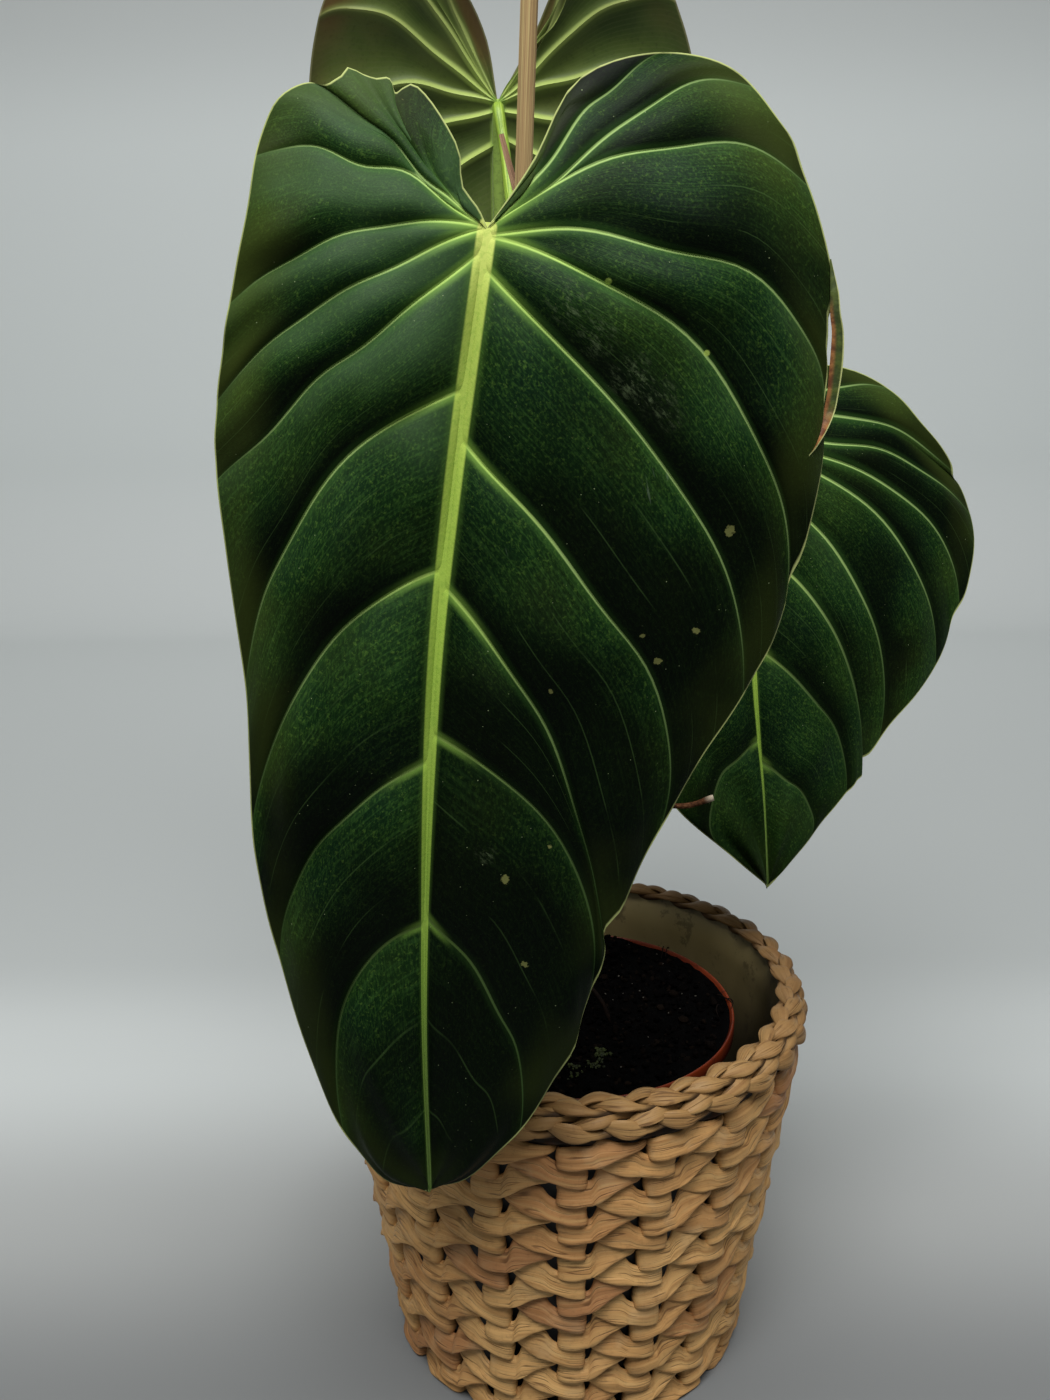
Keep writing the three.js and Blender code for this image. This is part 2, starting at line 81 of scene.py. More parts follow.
# Lumps on the soil: how many, from what to what size, and round which spots (x, y and spread)
PERLITE = {"count": 40, "sizes": (0.15, 0.4), "spots": [(5, 0, 30), (25, 20, 20)]}
MOSS = {
    "count": 110,
    "sizes": (0.3, 0.9),
    "spots": [(8, -38, 1.6), (11, -33, 1.2), (1, -44, 1.8), (46, -37, 1.2), (-12, -36, 6)],
}

# Stake, stem and ties
STAKE = {"radius": 2.7, "foot": (-32, 10, 32), "top": (-7.6, 10, 572)}
STEM = {
    "radius": 4.8,
    "path": [
        (-4, 3, 92), (-7, 2, 130), (-14, 2.5, 180), (-17.2, 4.1, 226), (-15.2, 4.1, 275), (-13, 4.2, 318),
    ],
    "nodes": [152, 168, 186, 214, 232, 300],
}
TIES = {"lower": 206, "upper": 290}

# Leaves. In a blade's own frame u runs to the right of someone who faces its upper side and v runs
# down from the petiole. A vein is (start v, degrees it leaves towards the tip, share of the margin
# where it ends, degrees between it and the margin there). A nick is (share, depth, half length).
# The painted shade is how much darker a panel is painted from one vein to the next, near the midrib
# and at the margin, and how dark the half is painted at the lobes, below the petiole and from its
# middle down, for the light from above on the quilted panels.
LEAVES = {
    "front": {
        "petiole_end": (-23.4, -110, 416.5),
        "tip": (-46.4, -104, 130.2),
        "yaw_deg": 0,
        "shape": {
            "trough": 4, "trough_width": 10, "droop": 0.002, "lobe_back": 0.0035, "lobe_from": 25, "bend": 6,
        },
        "midrib": [(0, 0), (-5, 67), (-7, 116), (-5, 215), (0, 287)],
        "rib_width": 2.5,
        "vein_width": 0.5,
        "left": {
            "quilt": 3.9,
            "painted_shade": {"inner": 0.4, "outer": 0.8, "down": (-0.45, -0.12, 0.12)},
            "margin": [
                (0, 0), (-10, -21), (-22, -33), (-38, -33), (-54, -26), (-61, 8), (-67, 50),
                (-64, 85), (-58, 127), (-54, 178), (-43, 223), (-28, 262), (-12, 283), (0, 287),
            ],
            "veins": [
                (0, -35, 0.105, 71), (0, -28, 0.157, 36), (0, -26, 0.218, 57), (0, -11, 0.306, 38),
                (0, 21, 0.367, 33), (5, 40, 0.415, 48), (39, 20, 0.556, 12), (86, 19, 0.652, 13),
                (140, 27, 0.763, 14), (191, 15, 0.909, 18),
            ],
            "nicks": [
                (0.028, 2.4, 0.012), (0.103, 4, 0.005), (0.118, 1.5, 0.008), (0.134, -2, 0.003),
                (0.15, 1.8, 0.008),
            ],
        },
        "right": {
            "quilt": 2.6,
            "painted_shade": {"inner": 0.3, "outer": 0.55, "down": (0.14, 0.12, 0.42)},
            "margin": [
                (0, 0), (10, -16), (20, -36), (41, -44), (60, -41), (75, -25), (88, 2), (94, 26),
                (92, 64), (85, 102), (68, 137), (53, 173), (43, 213), (31, 250), (12, 279), (0, 287),
            ],
            "veins": [
                (0, -42, 0.144, 20), (0, -28, 0.202, 26), (0, -40, 0.265, 22), (2, -14, 0.389, 7),
                (2, 5, 0.516, 10), (9, 41, 0.573, 31), (51, 45, 0.675, 9), (90, 41, 0.762, 25),
                (132, 18, 0.802, 7), (188, 40, 0.913, 25),
            ],
            "nicks": [
                (0.238, -1, 0.012), (0.337, 1.6, 0.008), (0.353, 3.2, 0.017), (0.386, 3.6, 0.027),
                (0.497, 1.6, 0.012), (0.748, 3, 0.012), (0.842, -2, 0.02),
            ],
        },
    },
    "right": {
        "petiole_end": (64.5, 42, 340.9),
        "tip": (75.9, 18, 173.6),
        "yaw_deg": 12,
        "shape": {
            "trough": 3, "trough_width": 8, "droop": 0.0022, "lobe_back": 0.004, "lobe_from": 20, "bend": 5,
        },
        "midrib": [(0, 0), (-2, 40), (-3, 90), (-1, 135), (0, 169)],
        "rib_width": 1.5,
        "vein_width": 0.6,
        "left": {
            "quilt": 1.8,
            "painted_shade": {"inner": 0.35, "outer": 0.5, "down": (0.22, 0.24, 0.06)},
            "margin": [
                (0, 0), (-10, -14), (-26, -23), (-45, -20), (-57, 0), (-62, 32),
                (-60, 68), (-51, 104), (-35, 133), (-16, 153), (0, 169),
            ],
            "veins": [
                (0, -35, 0.14, 30), (0, -22, 0.24, 30), (0, -5, 0.34, 30), (0, 10, 0.43, 30),
                (4, 25, 0.53, 30), (20, 28, 0.62, 28), (46, 30, 0.71, 24), (78, 28, 0.8, 18),
                (111, 15, 0.899, 4),
            ],
            "nicks": [(0.3, 1, 0.02), (0.66, 1.2, 0.02)],
        },
        "right": {
            "quilt": 1.8,
            "painted_shade": {"inner": 0.35, "outer": 0.5, "down": (0.22, 0.24, 0.06)},
            "margin": [
                (0, 0), (11, -14), (27, -23), (45, -21), (60, -13), (79, 8), (94, 36),
                (91, 62), (76, 90), (50, 113), (37, 130), (14, 154), (0, 169),
            ],
            "veins": [
                (0, -35, 0.242, 26), (0, -25, 0.382, 17), (0, 8, 0.446, 32), (1, 15, 0.564, 23),
                (5, 15, 0.648, 37), (16, 30, 0.772, 19), (40, 31, 0.817, 36), (75, 40, 0.847, 39),
                (119, 40, 0.919, 20),
            ],
            "nicks": [
                (0.11, 2, 0.03), (0.3, 1, 0.03), (0.388, 1.5, 0.01), (0.577, 2, 0.02), (0.803, 3, 0.008),
                (0.818, -1.2, 0.006),
            ],
        },
    },
    "back": {
        "petiole_end": (-23, 100, 455.5),
        "tip": (-8, 128, 185),
        "yaw_deg": 180,
        "shape": {
            "trough": 3, "trough_width": 10, "droop": 0.0018, "lobe_back": 0.003, "lobe_from": 25, "bend": 6,
        },
        "midrib": [(0, 0), (3, 50), (5, 120), (2, 200), (0, 272)],
        "rib_width": 2.4,
        "vein_width": 1.2,
        "left": {
            "quilt": 3.6,
            "painted_shade": {"inner": 0.5, "outer": 0.8, "down": (-0.1, 0, 0.1)},
            "margin": [
                (0, 0), (-14, -21), (-25, -40), (-40, -52), (-55, -47), (-67, -24), (-75, 12),
                (-76, 56), (-70, 104), (-58, 152), (-42, 198), (-22, 240), (0, 272),
            ],
            "veins": [
                (0, -62, 0.115, 40), (0, -48, 0.175, 40), (0, -30, 0.245, 40), (0, -12, 0.315, 38),
                (3, 14, 0.395, 33), (12, 30, 0.47, 34), (44, 28, 0.575, 22), (92, 26, 0.68, 16),
                (144, 26, 0.79, 14), (196, 20, 0.9, 14),
            ],
            "nicks": [(0.2, 1, 0.02), (0.44, 1.2, 0.02), (0.63, 1.2, 0.02)],
        },
        "right": {
            "quilt": 3.6,
            "painted_shade": {"inner": 0.5, "outer": 0.8, "down": (-0.1, 0, 0.1)},
            "margin": [
                (0, 0), (3, -24), (12, -42), (31, -54), (50, -50), (63, -27), (71, 8),
                (73, 52), (70, 100), (61, 150), (45, 200), (24, 244), (0, 272),
            ],
            "veins": [
                (0, -66, 0.12, 40), (0, -52, 0.18, 40), (0, -34, 0.25, 40), (0, -16, 0.33, 38),
                (3, 10, 0.41, 33), (14, 28, 0.485, 34), (48, 28, 0.59, 22), (98, 26, 0.69, 16),
                (150, 26, 0.8, 14), (202, 20, 0.905, 14),
            ],
            "nicks": [(0.22, 1, 0.02), (0.4, 1.2, 0.02), (0.6, 1.2, 0.02)],
        },
    },
}
# How many rows of faces lie between two veins and how they crowd at them, how many columns from the
# midrib to the margin and how they crowd there, and how straight a vein leaves and arrives
BLADE = {
    "thickness": 0.55, "rows_per_vein": 20, "row_crowd": 0.75, "columns": 42, "column_crowd": 0.55,
    "pull": 0.36,
}
# Half the midrib's width as a share of its greatest, at shares of the blade's length
RIB_TAPER = [(-0.2, 1), (0.15, 0.96), (0.3, 0.86), (0.48, 0.7), (0.65, 0.42), (0.77, 0.32), (1, 0.2)]

# Pale dust, scratches, pale knots on veins and dry scars on the front leaf (u, v and how far each
# spreads), and the dead strip that has come away from its right margin (u, v, half width)
DUST = [(21.5, 16, 8), (29, 23, 8), (39, 33, 9), (46, 38, 7), (49, 42, 5), (10, 164.5, 4), (-6, 71, 3)]
SCRATCHES = [(49, 61, 8), (9.5, 77, 5)]
KNOTS = [(30.7, 10.3, 1.5), (57.4, 26.3, 1.4)]
SCARS = [
    (68.5, 71.3, 3), (62.2, 98.2, 2.4), (52.7, 107.1, 2.2), (47.7, 99.9, 1.8), (15.8, 171.7, 2.6),
    (23.2, 199.5, 2.4), (24.5, 115.8, 1.8), (27.7, 162.1, 1.6),
]
TORN = [
    (88.1, 2, 0.12), (89.0, 6, 0.6), (90.0, 10.5, 1.1), (90.75, 15.2, 1.35), (91.9, 19.4, 1.5),
    (92.4, 23.4, 1.65), (92.75, 29, 1.7), (92.8, 35.2, 1.5), (92.45, 40, 1.45), (91.2, 45, 1.1),
    (89.2, 49.3, 0.6), (87.5, 51.6, 0.12),
]
# Stands for the distance across on leaves that carry no marks
NO_MARKS = 999

# What grows from the stem, as in the CAD: the node height where it leaves, the side in degrees, its
# size (a petiole's radii, a bud scale's width or a root's radius), and its way
PETIOLES = {
    "front": (232, 12, (3.2, 2), [(-12, -22, 288), (-14, -55, 350), (-19, -92, 403)]),
    "right": (168, 118, (2.9, 1.8), [(5, 14, 218), (24, 28, 278), (50, 43, 327)]),
    "back": (300, 150, (3, 1.8), [(-11, 28, 356), (-17, 60, 408), (-21, 86, 441)]),
}
CATAPHYLLS = {
    "front": (232, -52, 6, [(-24, -8, 264), (-27, -14, 290), (-26, -18, 312)]),
    "right": (168, 172, 5, [(-12, 11, 192), (-9, 17, 214), (-4, 21, 234)]),
    "back": (300, 84, 6, [(-6, 7, 340), (-9, 15, 395), (-21, 18, 442)]),
}
ROOTS = {
    "cut": (214, 85, 1.2, [(5, 1, 217), (28, 1, 215), (42, 0, 215), (52, 0, 218)]),
    "left": (186, -40, 1.1, [(-27, -10, 172), (-31, -14, 152), (-33, -18, 133.2)]),
    "right": (152, 50, 1, [(6, -6, 147), (12, -10, 141), (15, -13, 134.1)]),
}

# Hair-thin dead roots on the soil and over the pot's rim
ROOTLETS = [
    [(40, 46.5, 133.2), (39.6, 44, 134.4), (39, 40.5, 134), (38.2, 36.5, 133.4)],
    [(42, 45, 133.4), (41.2, 43, 134.6), (40.4, 40, 134.2), (40, 38, 133.4)],
    [(60.4, 5.5, 133), (61.6, 3.5, 133.8), (62, 0.5, 133.9), (61, -2, 133)],
    [(56.6, 0.5, 133.4), (55.6, -2.5, 134.6), (55, -5.5, 134.3), (55.6, -8.5, 133.2)],
    [(57, 8, 133.2), (58.4, 5.5, 134.2), (60.6, 3.5, 133.6), (62, 2.5, 133)],
]


def placed(name, data, *columns):
    """An object in the scene, from its three axes and its place."""
    thing = bpy.data.objects.new(name, data)
    axes = np.eye(4)
    axes[:3] = np.transpose(columns)
    thing.matrix_world = Matrix(axes.tolist())
    bpy.context.scene.collection.objects.link(thing)
    return thing


def add_camera():
    down, roll = math.radians(CAMERA["down_deg"]), math.radians(CAMERA["roll_deg"])
    forward = np.array([0, math.cos(down), -math.sin(down)])
    level = np.array([1.0, 0, 0])
    upward = np.array([0, math.sin(down), math.cos(down)])
    right = level * math.cos(roll) + upward * math.sin(roll)
    top = -level * math.sin(roll) + upward * math.cos(roll)
    data = bpy.data.cameras.new("camera")
    data.sensor_width = SENSOR_MM
    data.lens = CAMERA["focal_px"] / PHOTO_HEIGHT * SENSOR_MM
    place = np.array(CAMERA["place"]) * MM
    bpy.context.scene.camera = placed("camera", data, right, top, -forward, place)


# Lines and sections


def unit(v):
    v = np.asarray(v, float)
    return v / np.maximum(np.linalg.norm(v, axis=-1, keepdims=True), 1e-12)


def smooth(points, per_span=24):
    """A centripetal Catmull-Rom line through the points."""
    p = np.array(points, float)
    p = np.vstack([2 * p[0] - p[1], p, 2 * p[-1] - p[-2]])
    spans = []
    for i in range(1, len(p) - 2):
        a, b, c, d = p[i - 1 : i + 3]
        ta = 0.0
        tb = ta + math.sqrt(np.linalg.norm(b - a))
        tc = tb + math.sqrt(np.linalg.norm(c - b))
        td = tc + math.sqrt(np.linalg.norm(d - c))
        t = np.linspace(tb, tc, per_span, endpoint=False)[:, None]
        ab = ((tb - t) * a + (t - ta) * b) / (tb - ta)
        bc = ((tc - t) * b + (t - tb) * c) / (tc - tb)
        cd = ((td - t) * c + (t - tc) * d) / (td - tc)
        abc = ((tc - t) * ab + (t - ta) * bc) / (tc - ta)
        bcd = ((td - t) * bc + (t - tb) * cd) / (td - tb)
        spans.append(((tc - t) * abc + (t - tb) * bcd) / (tc - tb))
    spans.append(p[-2][None])
    return np.vstack(spans)


def bell(x, width=1):
    """One at nought, and falls away on both sides over the width."""
    return np.exp(-((x / width) ** 2))


def sway(rng):
    """A random start for a wave."""
    return rng.uniform(0, 6.3)


def circle(sides):
    """Angles that go evenly round."""
    return np.arange(sides) * 2 * math.pi / sides


def lengths(line):
    """How far along the line each of its points is."""
    steps = np.linalg.norm(np.diff(line, axis=0), axis=1)
    return np.concatenate([[0], np.cumsum(steps)])


def at_shares(line, shares, measured=3):
    """Points at shares of the line's length, measured over its first few numbers."""
    run = lengths(line[:, :measured])
    wanted = np.asarray(shares) * run[-1]
    return np.stack([np.interp(wanted, run, line[:, k]) for k in range(line.shape[1])], -1)


def transported(path):
    """Two directions across a path, carried along it without twist."""
    ahead = np.roll(path, -1, 0) - np.roll(path, 1, 0)
    ahead[0], ahead[-1] = path[1] - path[0], path[-1] - path[-2]
    tangent = unit(ahead)
    first = np.cross(tangent[0], [0, 1, 0] if abs(tangent[0][1]) < 0.9 else [1, 0, 0])
    across = [unit(first)]
    for t in tangent[1:]:
        across.append(unit(across[-1] - t * (across[-1] @ t)))
    across = np.array(across)
    return across, np.cross(tangent, across)


def grid_faces(rows, columns, wrap_rows=False, wrap_columns=False):
    """Quads between the points of a grid that is stored row by row."""
    i = np.arange(rows if wrap_rows else rows - 1)
    j = np.arange(columns if wrap_columns else columns - 1)
    i, j = (x.ravel() for x in np.meshgrid(i, j, indexing="ij"))
    i2, j2 = (i + 1) % rows, (j + 1) % columns
    return np.stack([i * columns + j, i * columns + j2, i2 * columns + j2, i2 * columns + j], -1)


class Build:
    """Collects the points, faces and attributes of one piece, then makes its mesh."""

    def __init__(self, *attributes):
        self.points, self.faces, self.looks = [], [], []
        self.values = {name: [] for name in attributes}
        self.count = 0

    def add(self, points, faces, look=0, **values):
        points = np.asarray(points, float).reshape(-1, 3)
        self.points.append(points)
        self.faces += [[int(k) + self.count for k in face] for face in faces]
        self.looks += [look] * len(faces)
        for name, kept in self.values.items():
            value = np.broadcast_to(np.asarray(values.get(name, 0.0), float).ravel(), (len(points),))
            kept.append(value)
        self.count += len(points)

    def tube(self, rings, closed=False, **values):
        """A closed skin through rings of points, with a flat cap at each end."""
        steps, sides = rings.shape[:2]
        faces = list(grid_faces(steps, sides, closed, True))
        if not closed:
            faces += [list(range(sides))[::-1], [(steps - 1) * sides + k for k in range(sides)]]
        spread = {k: np.broadcast_to(v, (steps, sides)) for k, v in values.items()}
        self.add(rings, faces, **spread)

    def make(self, name, looks, replaces=(), sharp_deg=40, merge=False):
        mesh = bpy.data.meshes.new(name)
        mesh.from_pydata((np.vstack(self.points) * MM).tolist(), [], self.faces)
        for look in looks:
            mesh.materials.append(look)
        mesh.polygons.foreach_set("material_index", self.looks)
        for key, kept in self.values.items():
            layer = mesh.attributes.new(key, "FLOAT", "POINT")
            layer.data.foreach_set("value", np.concatenate(kept).astype(np.float32))
        work = bmesh.new()
        work.from_mesh(mesh)
        if merge:
            bmesh.ops.remove_doubles(work, verts=work.verts, dist=0.01 * MM)
            bmesh.ops.dissolve_degenerate(work, edges=work.edges, dist=0.002 * MM)
        bmesh.ops.recalc_face_normals(work, faces=work.faces)
        work.to_mesh(mesh)
        work.free()
        mesh.shade_smooth()
        mesh.set_sharp_from_angle(angle=math.radians(sharp_deg))
        piece = bpy.data.objects.new(name, mesh)
        bpy.context.scene.collection.objects.link(piece)
        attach(piece, BODY)
        if replaces:
            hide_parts(*replaces)
        return piece


def round_rings(path, radius, sides):
    """Rings of points round a path. The radius is a number or an array of steps by sides."""
    across, beside = transported(path)
    angle = circle(sides)
    reach = np.broadcast_to(np.asarray(radius, float), (len(path), sides))
    spread = across[:, None] * np.cos(angle)[None, :, None] + beside[:, None] * np.sin(angle)[None, :, None]
    return path[:, None] + spread * reach[..., None]


def section(path, wide, out, across, up):
    """Rings round a path, from how far each point lies along two directions across it."""
    return path[:, None] + wide[:, None] * across[..., None] + out[:, None] * up[..., None]


def turned_rings(profile, segments, centre_x=0):
    """Rings about Z from (radius, z) pairs."""
    angle = circle(segments)
    r, z = np.array(profile, float).T
    x = r[:, None] * np.cos(angle) + centre_x
    y = r[:, None] * np.sin(angle)
    return np.stack([x, y, np.broadcast_to(z[:, None], x.shape)], -1)


# Materials


def rgb(red, green, blue):
    """A screen colour from 0 to 255 as the renderer's own numbers."""
    share = np.array([red, green, blue]) / 255
    linear = np.where(share <= 0.04045, share / 12.92, ((share + 0.055) / 1.055) ** 2.4)
    return (*linear.tolist(), 1.0)


class Look:
    """One material. Each call adds nodes and gives back their result."""

    def __init__(self, name, **settings):
        self.material = bpy.data.materials.new(name)
        self.material.use_nodes = True
        self.tree = self.material.node_tree
        self.shader = self.tree.nodes["Principled BSDF"]
        for key, value in settings.items():
            self.shader.inputs[key.replace("_", " ")].default_value = value
        self.place = self.node("ShaderNodeTexCoord").outputs["Object"]

    def node(self, kind, *values, **settings):
        """Adds a node, sets it up and feeds its first inputs."""
        node = self.tree.nodes.new(kind)
        for key, value in settings.items():
            setattr(node, key, value)
        for socket, value in zip(node.inputs, values):
            self.feed(socket, value)
        return node

    def feed(self, socket, value):
        if isinstance(value, bpy.types.NodeSocket):
            self.tree.links.new(value, socket)
        else:
            socket.default_value = value

    def attributes(self, *names):
        return [self.node("ShaderNodeAttribute", attribute_name=name).outputs["Fac"] for name in names]

    def axis(self, number):
        """The place along x, y or z (0, 1 or 2), in metres."""
        return self.node("ShaderNodeSeparateXYZ", self.place).outputs[number]

    def math(self, operation, a, b=0.0, clamp=False):
        return self.node("ShaderNodeMath", a, b, operation=operation, use_clamp=clamp).outputs[0]

    def times(self, a, b, clamp=False):
        return self.math("MULTIPLY", a, b, clamp)

    def plus(self, a, b):
        return self.math("ADD", a, b)

    def step(self, *values):
        """Goes smoothly from 0 to 1, or to_low to to_high, as a value goes from low to high. They
        are given as value, low, high, to_low and to_high."""
        return self.node("ShaderNodeMapRange", *values, interpolation_type="SMOOTHSTEP").outputs[0]

    def where(self, *steps):
        """The product of some steps."""
        share = self.step(*steps[0])
        for step in steps[1:]:
            share = self.times(share, self.step(*step))
        return share

    def vector(self, x, y, z=0.0):
        return self.node("ShaderNodeCombineXYZ", x, y, z).outputs[0]

    def texture(self, kind, **values):
        """A texture node, over the object's own place unless a Vector is given."""
        node = self.node(kind)
        for name, value in {"Vector": self.place, **values}.items():
            self.feed(node.inputs[name], value)
        return node

    def noise(self, scale, detail=3.0, roughness=0.55, **place):
        values = {"Scale": scale, "Detail": detail, "Roughness": roughness, **place}
        return self.texture("ShaderNodeTexNoise", **values).outputs["Fac"]

    def drawn(self, across, along, shift, detail=3.0, roughness=0.55):
        """Noise over two measures of a surface, which draw it out."""
        return self.noise(1.0, detail, roughness, Vector=self.vector(across, along, shift))

    def ramp(self, value, *stops):
        """A colour for a value, through stops of (value, red, green, blue)."""
        node = self.node("ShaderNodeValToRGB", value)
        band = node.color_ramp
        while len(band.elements) < len(stops):
            band.elements.new(0.5)
        for element, (position, *colour) in zip(band.elements, stops):
            element.position = position
            element.color = rgb(*colour)
        return node.outputs[0]

    def lay(self, coat, *layers):
        """Lays colours over a coat. A layer is a share, or what step() takes, and then its colour."""
        for *where, colour in layers:
            node = self.node("ShaderNodeMix", data_type="RGBA")
            self.feed(node.inputs["Factor"], where[0] if len(where) == 1 else self.step(*where))
            self.feed(node.inputs[6], coat)
            self.feed(node.inputs[7], rgb(*colour) if isinstance(colour, tuple) else colour)
            coat = node.outputs[2]
        return coat

    def finish(self, colour, roughness, height=None, depth_mm=0.2, strength=1.0):
        self.feed(self.shader.inputs["Base Color"], colour)
        self.feed(self.shader.inputs["Roughness"], roughness)
        if height is not None:
            bump = self.node("ShaderNodeBump")
            for name, value in (("Strength", strength), ("Distance", depth_mm * MM), ("Height", height)):
                self.feed(bump.inputs[name], value)
            self.feed(self.shader.inputs["Normal"], bump.outputs[0])
        return self.material


def velvet_look():
    """Upper side of a blade: near black velvet with painted shade and a painted sheen on its panels, pale
    veins and a cream margin.
    """
    sheen = {"Sheen_Weight": 0.05, "Sheen_Roughness": 0.35, "Sheen_Tint": rgb(160, 208, 160)}
    look = Look("leaf_velvet", Specular_IOR_Level=0.06, **sheen)
    vein, rib, reach, edge = look.attributes("vein", "rib", "reach", "edge")
    row, down, slope = look.attributes("row", "down", "slope")
    patches, clouds, grain = look.noise(26, 4), look.noise(20, 2), look.noise(900, 3, 0.7)
    dots = look.drawn(look.times(row, 46), look.times(reach, 110), down, 2, 0.6)
    lines = look.drawn(look.times(row, 60), look.times(reach, 5), 2.0, 1)
    # The level of painted shade: the slope attribute's painted shade, made uneven by clouds.
    painted_shade_level = look.plus(slope, look.times(look.math("SUBTRACT", clouds, 0.5), 0.9))
    between = look.math("ABSOLUTE", look.math("SINE", look.times(row, math.pi * 3)))
    olive = look.where((edge, 20, 3), (look.noise(18, 2), 0.38, 0.64), (down, 0.6, 0.15, 0.25, 0.48))
    coat = look.lay(
        look.ramp(patches, (0.34, 11, 34, 16), (0.5, 14, 38, 12), (0.66, 25, 44, 12)),
        (lines, 0.5, 0.7, 0, 0.3, (52, 86, 38)),
        (dots, 0.48, 0.7, 0, 0.28, (64, 100, 36)),
        (dots, 0.5, 0.3, 0, 0.35, (2, 6, 3)),
        (grain, 0.54, 0.72, 0, 0.38, (84, 116, 44)),
        # Painted shade: each panel goes near black towards the next vein down.
        (painted_shade_level, 0.1, 0.55, 0, 0.9, (1, 3, 1)),
        # Painted sheen: a grey-green highlight high in each panel of the upper leaf.
        (look.where((painted_shade_level, 0.24, -0.1), (down, 0.4, 0.1, 0.1, 0.42)), (64, 88, 56)),
        (look.where((between, 0.07, 0.02), (look.noise(30), 0.45, 0.6, 0, 0.13)), (96, 130, 70)),
        (olive, (62, 74, 26)),
        (look.where((vein, 6.5, 1), (reach, 1, 0.1, 0.08, 0.36), (down, 0.55, 0.2, 0.3, 1)), (58, 96, 40)),
        (look.where((vein, 5, 0.8), (rib, 9, 1.2, 0, 0.42)), (132, 170, 70)),
    )
    near, far = ((0.02, 160, 190, 92), (0.3, 140, 166, 98)), ((0.65, 118, 142, 84), (0.95, 72, 92, 52))
    veins = look.lay(look.ramp(reach, *near, *far), (down, 0.2, 0.62, 0, 0.85, (40, 62, 28)))
    upper, lower = ((0, 186, 196, 104), (0.07, 160, 178, 82)), ((0.7, 134, 164, 66), (0.97, 118, 142, 78))
    ribs = look.ramp(down, *upper, (0.3, 158, 186, 76), *lower)
    ribs = look.lay(ribs, (grain, 0.45, 0.68, 0, 0.35, (112, 150, 56)))
    cells = look.texture("ShaderNodeTexVoronoi", Scale=300).outputs["Distance"]
    specks = look.where((cells, 0.06, 0.025), (look.noise(50), 0.48, 0.6))
    coat = look.lay(
        coat,
        (look.where((vein, 1.4, 0.45), (reach, 1, 0.8, 0.35, 1)), veins),
        (rib, 1.9, 0.95, 0, 0.25, (86, 122, 48)),
        (rib, 1.12, 0.82, ribs),
        (edge, 0.5, 0.15, 0, 0.75, (172, 180, 114)),
        (look.times(specks, 0.6), (150, 164, 120)),
        (marked(look, KNOTS), 0.2, 0.7, 0, 0.85, (166, 188, 88)),
        *dusty_layers(look),
    )
    return look.finish(coat, look.step(patches, 0.3, 0.7, 0.45, 0.56), look.plus(dots, grain), 0.1, 0.5)


def marked(look, spots):
    """How near a place is to any of some spots (u, v and how far each spreads) on the front leaf."""
    across, down = look.attributes("across", "down")
    flat = look.vector(across, look.times(down, LeafFrame(LEAVES["front"]).length))
    total = 0.0
    for u, v, spread in spots:
        far = look.node("ShaderNodeVectorMath", flat, (u, v, 0), operation="DISTANCE").outputs["Value"]
        total = look.math("MAXIMUM", total, look.step(far, spread, 0.0))
    return total


def streaked(look, turn_deg, scales, detail):
    """Noise drawn out along a line that is turned in the plane of the front leaf."""
    turned = look.node("ShaderNodeVectorRotate", look.place, rotation_type="Y_AXIS")
    look.feed(turned.inputs["Angle"], math.radians(turn_deg))
    drawn = look.node("ShaderNodeVectorMath", turned.outputs[0], scales, operation="MULTIPLY")
    return look.noise(1.0, detail, 0.75, Vector=drawn.outputs[0])


def dusty_layers(look):
    """Pale dust, a few fine scratches and small dry scars on the front leaf."""
    smear, lines = streaked(look, 45, (900, 640, 300), 5), streaked(look, 12, (900, 300, 120), 1)
    dust = look.times(marked(look, DUST), look.step(smear, 0.48, 0.7, 0, 0.42))
    scratch = look.times(marked(look, SCRATCHES), look.step(lines, 0.64, 0.74, 0, 0.5))
    uneven = look.times(look.noise(420, 3, 0.7), 2.2)
    scars = look.step(look.plus(marked(look, SCARS), uneven), 1.62, 1.86)
    return (dust, (112, 130, 92)), (scratch, (96, 112, 92)), (look.times(scars, 0.62), (126, 128, 74))


def underside_look():
    """Lower side of a blade: dull olive green with raised pale veins."""
    look = Look("leaf_underside", Specular_IOR_Level=0.35, Sheen_Weight=0.15, Sheen_Roughness=0.4)
    vein, rib, reach, edge, row, down = look.attributes("vein", "rib", "reach", "edge", "row", "down")
    grain = look.noise(700, 3, 0.65)
    stripes = look.step(look.math("SINE", look.times(row, 2 * math.pi * 13)), 0.4, 1)
    tint = look.where((edge, 14, 2), (look.noise(14, 2), 0.42, 0.6))
    veins = look.ramp(reach, (0.02, 176, 196, 104), (0.5, 160, 176, 98), (0.95, 136, 142, 80))
    ribs = look.ramp(down, (0, 150, 182, 82), (0.3, 122, 142, 66), (0.97, 104, 112, 58))
    coat = look.lay(
        look.ramp(look.noise(22, 4), (0.35, 62, 82, 32), (0.52, 88, 104, 46), (0.68, 112, 114, 62)),
        (look.times(stripes, 0.3), (98, 108, 62)),
        (grain, 0.5, 0.75, 0, 0.3, (36, 44, 20)),
        (look.times(tint, 0.6), (112, 66, 40)),
        (vein, 6, 1, 0, 0.6, (104, 122, 56)),
        (vein, 2, 0.6, veins),
        (rib, 1.5, 1, look.lay(ribs, (grain, 0.45, 0.7, 0, 0.4, (88, 104, 48)))),
        (edge, 0.8, 0.3, 0, 0.8, (160, 156, 112)),
    )
    return look.finish(coat, 0.52, grain, 0.1, 0.6)


